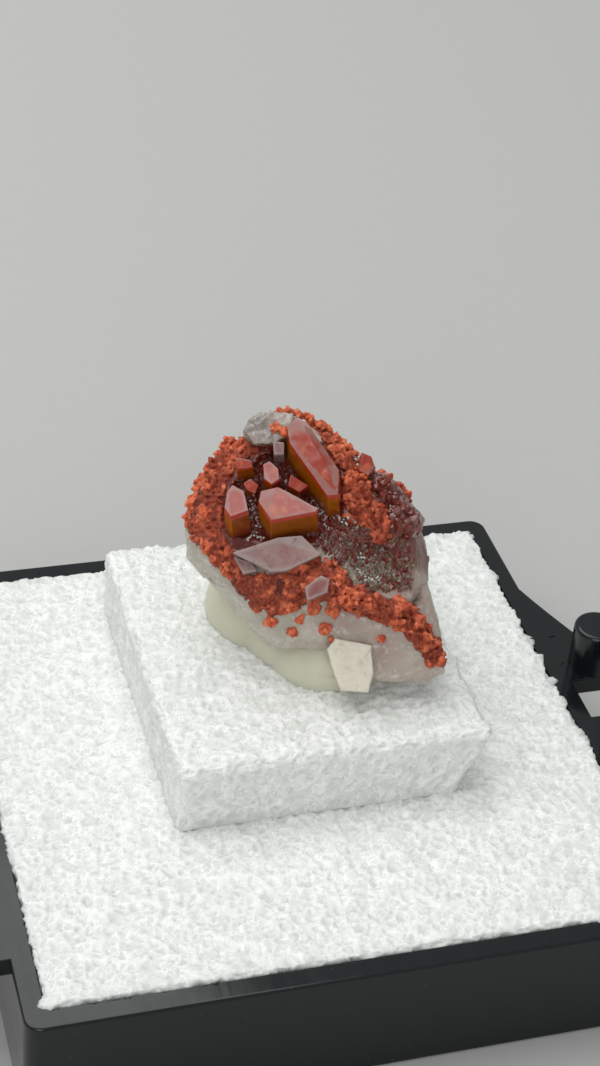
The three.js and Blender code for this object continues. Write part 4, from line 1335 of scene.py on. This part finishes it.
def crystal_core(crystal, points):
    """How far each point lies within the pale band of a crystal's big face, which is partly haze and partly
    painted sheen, from 0 to 1.
    """
    depth_in = -distance_to(points, crystal["top"])
    ends = [u for _, u in crystal["top"]]
    below_end = (max(ends) - points[:, 1]) / (max(ends) - min(ends))
    past_veil_and_sheen = smoothstep(0, VEIL_AND_SHEEN_WIDTH * depth_in.max() / 0.6, depth_in)
    return past_veil_and_sheen * smoothstep(0, VEIL_AND_SHEEN_END, below_end)


def build_crystals(settings, stone, material):
    solids, drops, cores = [], [], []
    for crystal in CRYSTALS.values():
        if crystal["stone"] != stone:
            continue
        solid = crystal_solid(crystal)
        points = np.array(solid[0])
        solids.append(solid)
        drops.append(top_height(crystal, points[:, :2]) - points[:, 2])
        cores.append(crystal_core(crystal, points))
    mesh = weighted(mesh_of("crystals", *gathered(solids)), 50)
    facing = values_of(mesh.polygons, "normal", 3)
    drop = np.concatenate(drops)
    deepest = np.array([drop[list(p.vertices)].max() for p in mesh.polygons])
    # Side faces get the amber colour with its painted glow
    paint(mesh, "side", facing[:, 2] < FACES_OUT, "FACE")
    paint(mesh, "rim", (deepest > 0.01) & (deepest < 2 * CRYSTAL_BEVEL["drop"]), "FACE")
    # Painted shade on the sides that face right
    paint(mesh, "right", facing[:, 0] * 1.4, "FACE")
    paint(mesh, "drop", drop / DEEPEST)
    paint(mesh, "core", np.concatenate(cores))
    return place_stone(f"{stone}_crystals", mesh, material)


def build_flake(settings):
    mesh = fused(rounded_slab(FLAKE_OUTLINE, *FLAKE["out"], FLAKE["round"]), FLAKE["voxel"])
    push_out(mesh, relief_of(points_of(mesh), FLAKE_RELIEF) * FLAKE["relief"])
    smooth(mesh)
    return place_stone("cream_flake", mesh, cream_flake(settings))


# Crust

def crumb_shapes(random):
    """The skewed blocks and plates that the crust repeats."""
    shapes = []
    for _ in range(CRUMB_SHAPES):
        half = (1.0, random.uniform(0.6, 1.0), random.uniform(0.4, 0.95))
        shapes.append(hull([
            [sign * side * random.uniform(0.45, 1.0) for sign, side in zip(signs, half)]
            for signs in itertools.product((-1, 1), repeat=3)
        ]))
    return shapes


def scattered(outline, step, random):
    """Jittered places on a grid inside an outline."""
    low, high = np.min(outline, axis=0), np.max(outline, axis=0)
    grid = np.stack(np.meshgrid(*(np.arange(low[k], high[k], step) for k in (0, 1))), axis=-1).reshape(-1, 2)
    grid = grid + random.uniform(-0.45, 0.45, grid.shape) * step
    return grid[inside(grid, outline)]


def band_places(front, random):
    """Where the crust's crumbs lie, in lumps with gaps between: their middles, sizes and how much painted
    shade each gets, more in the lower layers and the gaps.
    """
    places = []
    for outline, layer in itertools.product(CRUST_BANDS.values(), CRUST_LAYERS):
        spots = scattered(outline, layer["step"], random)
        flat = np.column_stack([spots, np.zeros(len(spots))])
        edge = np.minimum(-distance_to(flat, outline) / 0.5, 1) - 1
        thick = layered(flat, 0.8, 33) + edge * layer["lift"] * 2
        near, second, _ = cells(flat + 0.12 * layered(flat, 0.4, 44)[:, None], CRUST_LUMP, 37)
        dome = np.clip(1 - (near / 0.8) ** 2, 0, 1)
        gap = smoothstep(0.34, 0.08, second - near)
        lifts = layer["lift"] * (0.45 + 0.85 * dome) - 0.08 * gap
        # Painted shade: deeper layers and the gaps between lumps get more
        deep_shades = np.maximum(layer["deep"] * (1.2 - dome), 0.75 * gap)
        for (a, u), thickness, lift, deep in zip(spots, thick, lifts, deep_shades):
            point, normal = front(a, u)
            if point is None or normal.z < CRUST_FACING or thickness < layer["keep"]:
                continue
            centre = point + normal * (lift + random.uniform(-0.05, 0.05))
            places.append((centre, layer["size"], deep))
    return places


def any_direction(random):
    return Vector(random.normal(0, 1, 3)).normalized()


def within_ball(reach, random):
    return any_direction(random) * reach * random.uniform(0, 1) ** 0.5


def skyline_places(random):
    places = []
    for row in SKYLINE_CRUST:
        for start, end in zip(row, row[1:]):
            count = round(math.dist(start, end) / SKYLINE_STEP)
            for k in range(count):
                spot = Vector(start).lerp(Vector(end), k / count)
                places.append((spot + within_ball(SKYLINE_REACH, random), 1.1, 0.0))
    return places


def lone_places(front, random):
    places = []
    for a, u, size in LONE_GRAINS:
        point, _ = front(a, u)
        for _ in range(round(LONE_CRUMBS * size ** 2)):
            places.append((point + within_ball(size, random), 0.85, 0.0))
    return places


def nearest_of(centres, points):
    """Which centre is nearest to each point."""
    tree = KDTree(len(centres))
    for i, centre in enumerate(centres):
        tree.insert(centre, i)
    tree.balance()
    return [tree.find(point)[1] for point in points.tolist()]


def build_crust(settings):
    random = np.random.default_rng(21)
    front = matrix_front()
    shapes = crumb_shapes(random)
    solids, kinds = [], []
    places = band_places(front, random) + skyline_places(random) + lone_places(front, random)
    for centre, size, deep in places:
        points, faces = shapes[random.integers(CRUMB_SHAPES)]
        size *= settings.crumb / MM * min(math.exp(CRUMB_SPREAD * random.normal()), LARGEST_CRUMB)
        turn = Quaternion(random.normal(0, 1, 4)).normalized()
        solids.append(([tuple(turn @ Vector(p) * size + centre) for p in points], faces))
        kinds.append((random.uniform(0, 1), deep))
    mesh = fused(gathered(solids), settings.crust_voxel / MM)
    smooth(mesh)
    points = points_of(mesh)
    kinds = np.array(kinds)[nearest_of([place[0] for place in places], points)]
    paint(mesh, "tone", kinds[:, 0])
    # Painted shade of the lower crumbs and the gaps
    paint(mesh, "deep", kinds[:, 1])
    push_out(mesh, relief_of(points, CRUST_RELIEF) * CRUST_GRAIN)
    # Painted shade in the crust's hollows
    paint(mesh, "pore", smoothstep(0.0, 0.035, hollowness(mesh)))
    return place_stone("iron_crust", mesh, iron_crust(settings))


# Druse

def quartz_point(centre, direction, size, random, tall=1.0):
    """A six-sided point along a direction."""
    turn = Vector((0, 0, 1)).rotation_difference(direction)
    start = random.uniform(0, math.pi)
    corners = [Vector((0, 0, size * random.uniform(1.6, 3.2) * tall))]
    for k in range(6):
        a = start + k * math.pi / 3
        for height in (-1.5, random.uniform(0.3, 1.0)):
            corners.append(Vector((math.cos(a), math.sin(a), height)) * size)
    return hull([turn @ corner + Vector(centre) for corner in corners])


def band_points(front, random):
    """The tiny points of each band, and the kind of each."""
    for band in DRUSE_BANDS:
        for a, u in scattered(band["outline"], band["step"], random):
            point, normal = front(a, u)
            if point is None:
                continue
            direction = (normal + DRUSE_LEAN + Vector(random.uniform(-0.6, 0.6, 3))).normalized()
            frost = np.linalg.norm(np.subtract((a, u), FROST["at"]) / FROST["reach"])
            pick = random.uniform(0, 1) + max(0, 1.2 - frost) * 0.35
            kind = np.searchsorted(np.cumsum(band["shares"])[:3], pick) * KIND_STEP
            size = band["size"] * random.uniform(0.5, 1.6)
            yield quartz_point(point, direction, size, random, band["tall"]), kind


def sparkles(front, random):
    """White crumbs along the given lines, their near-white partly painted glint."""
    for line in SPARKLE_LINES:
        for start, end in zip(line, line[1:]):
            count = round(math.dist(start, end) / SPARKLE_STEP)
            for k in range(count):
                a, u = Vector(start).lerp(Vector(end), k / count) + Vector(random.normal(0, 0.07, 2))
                point, normal = front(a, u)
                lifted = point + normal * random.uniform(0.02, 0.16)
                direction = any_direction(random)
                yield quartz_point(lifted, direction, random.uniform(0.02, 0.048), random), SPARKLE_KIND


def build_druse():
    random = np.random.default_rng(5)
    front = matrix_front()
    solids, kinds = [], []
    for solid, kind in itertools.chain(band_points(front, random), sparkles(front, random)):
        solids.append(solid)
        kinds.extend([kind] * len(solid[0]))
    mesh = mesh_of("druse", *gathered(solids))
    paint(mesh, "kind", np.array(kinds))
    return place_stone("quartz_druse", mesh, druse_quartz())


# Putty

def putty_ball(lobe, top):
    shape = bmesh.new()
    bmesh.ops.create_icosphere(shape, subdivisions=4, radius=1)
    for v in shape.verts:
        v.co = Vector([c * s for c, s in zip(v.co, lobe["size"])]) + Vector((*lobe["at"], top))
    return taken(shape)


def build_putty(settings, foam):
    top = foam.riser_top / MM
    seat = top - FOAM_PIT / 2
    mesh = fused(gathered(putty_ball(lobe, top) for lobe in PUTTY_LOBES), settings.voxel / MM)
    points = points_of(mesh)
    line = PUTTY_CREASE["height"] + PUTTY_CREASE["wave"] * np.sin(points[:, 0] * 0.9)
    away = np.abs(points[:, 2] - line - PUTTY_CREASE["wander"] * noise(points, 1.6, 3))
    side = smoothstep(0.0, -0.6, normals_of(mesh)[:, 1]) * smoothstep(0.6, 1.8, points[:, 0])
    groove = smoothstep(0.12, 0.0, away) * side
    swell = layered(points, 2.2, 13) * settings.roll / MM
    push_out(mesh, swell - PUTTY_CREASE["depth"] * groove)
    under = hull(list(itertools.product((-12, 14), (-12, 16), (0, seat))))
    world = stone_matrix()
    blocks = [hull([tuple(world @ Vector(p)) for p in block], -0.05) for block in MATRIX_BLOCKS.values()]
    mesh = combined(solid_of(mesh), [under, *blocks], "DIFFERENCE")
    smooth(mesh)
    # Painted shade in the creases, from how hollow the surface is
    paint(mesh, "dent", smoothstep(0.01, 0.06, hollowness(mesh, 4)))
    return place_piece("putty_pressed", mesh, mineral_putty(settings), "putty")


# Stage

def soft_light(name, place, aim, size, power):
    light = bpy.data.lights.new(name, "AREA")
    light.shape = "RECTANGLE"
    light.size, light.size_y = size
    light.energy = power
    lamp = linked(name, light)
    lamp.location = place
    lamp.rotation_euler = (Vector(aim) - Vector(place)).to_track_quat("-Z", "Y").to_euler()


def build_camera(settings):
    camera = bpy.data.cameras.new("camera")
    camera.sensor_width = 36.0
    camera.lens = settings.lens
    camera.clip_start, camera.clip_end = 0.001, 10.0
    viewer = linked("camera", camera)
    pose = posed(settings.target, settings.azimuth, settings.elevation, settings.roll)
    viewer.matrix_world = pose @ Matrix.Translation((0, 0, settings.distance))
    bpy.context.scene.camera = viewer


def build_stage(settings):
    build_camera(settings)
    corners = [(x * FLOOR_HALF, y * FLOOR_HALF, 0) for x, y in ((-1, -1), (1, -1), (1, 1), (-1, 1))]
    mesh = mesh_of("floor", corners, [(0, 1, 2, 3)])
    mesh.materials.append(pale_floor(settings))
    floor = linked("floor", mesh)
    floor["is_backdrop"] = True
    for name, light in SOFT_LIGHTS.items():
        soft_light(name, power=getattr(settings, name), **light)
    world = bpy.data.worlds.new("surroundings")
    world.use_nodes = True
    sky = world.node_tree.nodes["Background"]
    sky.inputs["Color"].default_value = SKY
    sky.inputs["Strength"].default_value = settings.sky
    bpy.context.scene.world = world
    bpy.context.scene.view_settings.view_transform = "Standard"


# Operators

class SPECIMEN_OT_tray(bpy.types.Operator):
    """Build the black box base with its ledge, hinge flanges and posts"""

    bl_idname = "specimen.tray"
    bl_label = "Tray"

    def execute(self, context):
        build_tray(context.scene.specimen_tray)
        return {"FINISHED"}


class SPECIMEN_OT_foam(bpy.types.Operator):
    """Build the foam liner and the foam riser"""

    bl_idname = "specimen.foam"
    bl_label = "Foam"

    def execute(self, context):
        build_liner(context.scene.specimen_foam, context.scene.specimen_tray)
        build_riser(context.scene.specimen_foam)
        return {"FINISHED"}


class SPECIMEN_OT_putty(bpy.types.Operator):
    """Build the putty pressed between the riser and the stone"""

    bl_idname = "specimen.putty"
    bl_label = "Putty"

    def execute(self, context):
        build_putty(context.scene.specimen_putty, context.scene.specimen_foam)
        return {"FINISHED"}


class SPECIMEN_OT_matrix(bpy.types.Operator):
    """Build the pale quartz matrix and its cream flake"""

    bl_idname = "specimen.matrix"
    bl_label = "Quartz Matrix"

    def execute(self, context):
        build_matrix(context.scene.specimen_stone)
        build_flake(context.scene.specimen_stone)
        return {"FINISHED"}


class SPECIMEN_OT_crystals(bpy.types.Operator):
    """Build the red and the pale crystals"""

    bl_idname = "specimen.crystals"
    bl_label = "Crystals"

    def execute(self, context):
        settings = context.scene.specimen_stone
        build_crystals(settings, "red", red_quartz(settings))
        build_crystals(settings, "pale", pale_quartz(settings))
        return {"FINISHED"}


class SPECIMEN_OT_crust(bpy.types.Operator):
    """Build the red iron crust on the quartz matrix"""

    bl_idname = "specimen.crust"
    bl_label = "Iron Crust"

    def execute(self, context):
        build_crust(context.scene.specimen_stone)
        return {"FINISHED"}


class SPECIMEN_OT_druse(bpy.types.Operator):
    """Build the tiny quartz points on the quartz matrix"""

    bl_idname = "specimen.druse"
    bl_label = "Druse"

    def execute(self, context):
        build_druse()
        return {"FINISHED"}


class SPECIMEN_OT_stage(bpy.types.Operator):
    """Build the floor, the lights and the camera"""

    bl_idname = "specimen.stage"
    bl_label = "Stage"

    def execute(self, context):
        build_stage(context.scene.specimen_stage)
        return {"FINISHED"}


OPERATORS = (
    SPECIMEN_OT_tray, SPECIMEN_OT_foam, SPECIMEN_OT_putty, SPECIMEN_OT_matrix,
    SPECIMEN_OT_crystals, SPECIMEN_OT_crust, SPECIMEN_OT_druse, SPECIMEN_OT_stage,
)
SETTINGS = {
    "specimen_tray": TraySettings,
    "specimen_foam": FoamSettings,
    "specimen_putty": PuttySettings,
    "specimen_stone": StoneSettings,
    "specimen_stage": StageSettings,
}


class SPECIMEN_PT_build(bpy.types.Panel):
    """Lists the steps of the build and their settings"""

    bl_label = "Mineral Specimen"
    bl_idname = "SPECIMEN_PT_build"
    bl_space_type = "VIEW_3D"
    bl_region_type = "UI"
    bl_category = "Specimen"

    def draw(self, context):
        for operator in OPERATORS:
            self.layout.operator(operator.bl_idname)
        for name, group in SETTINGS.items():
            box = self.layout.box()
            for key in group.__annotations__:
                box.prop(getattr(context.scene, name), key)


def register():
    for group in SETTINGS.values():
        bpy.utils.register_class(group)
    for operator in OPERATORS:
        bpy.utils.register_class(operator)
    bpy.utils.register_class(SPECIMEN_PT_build)
    for name, group in SETTINGS.items():
        setattr(bpy.types.Scene, name, bpy.props.PointerProperty(type=group))


def unregister():
    for name in SETTINGS:
        delattr(bpy.types.Scene, name)
    bpy.utils.unregister_class(SPECIMEN_PT_build)
    for operator in reversed(OPERATORS):
        bpy.utils.unregister_class(operator)
    for group in reversed(SETTINGS.values()):
        bpy.utils.unregister_class(group)


def main():
    register()
    for operator in OPERATORS:
        group, name = operator.bl_idname.split(".")
        getattr(getattr(bpy.ops, group), name)()
    corners = {"cad": CAD_BOX, "visual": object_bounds()}
    {key: [list(corner) for corner in box] for key, box in corners.items()}


if __name__ == "__main__":
    main()
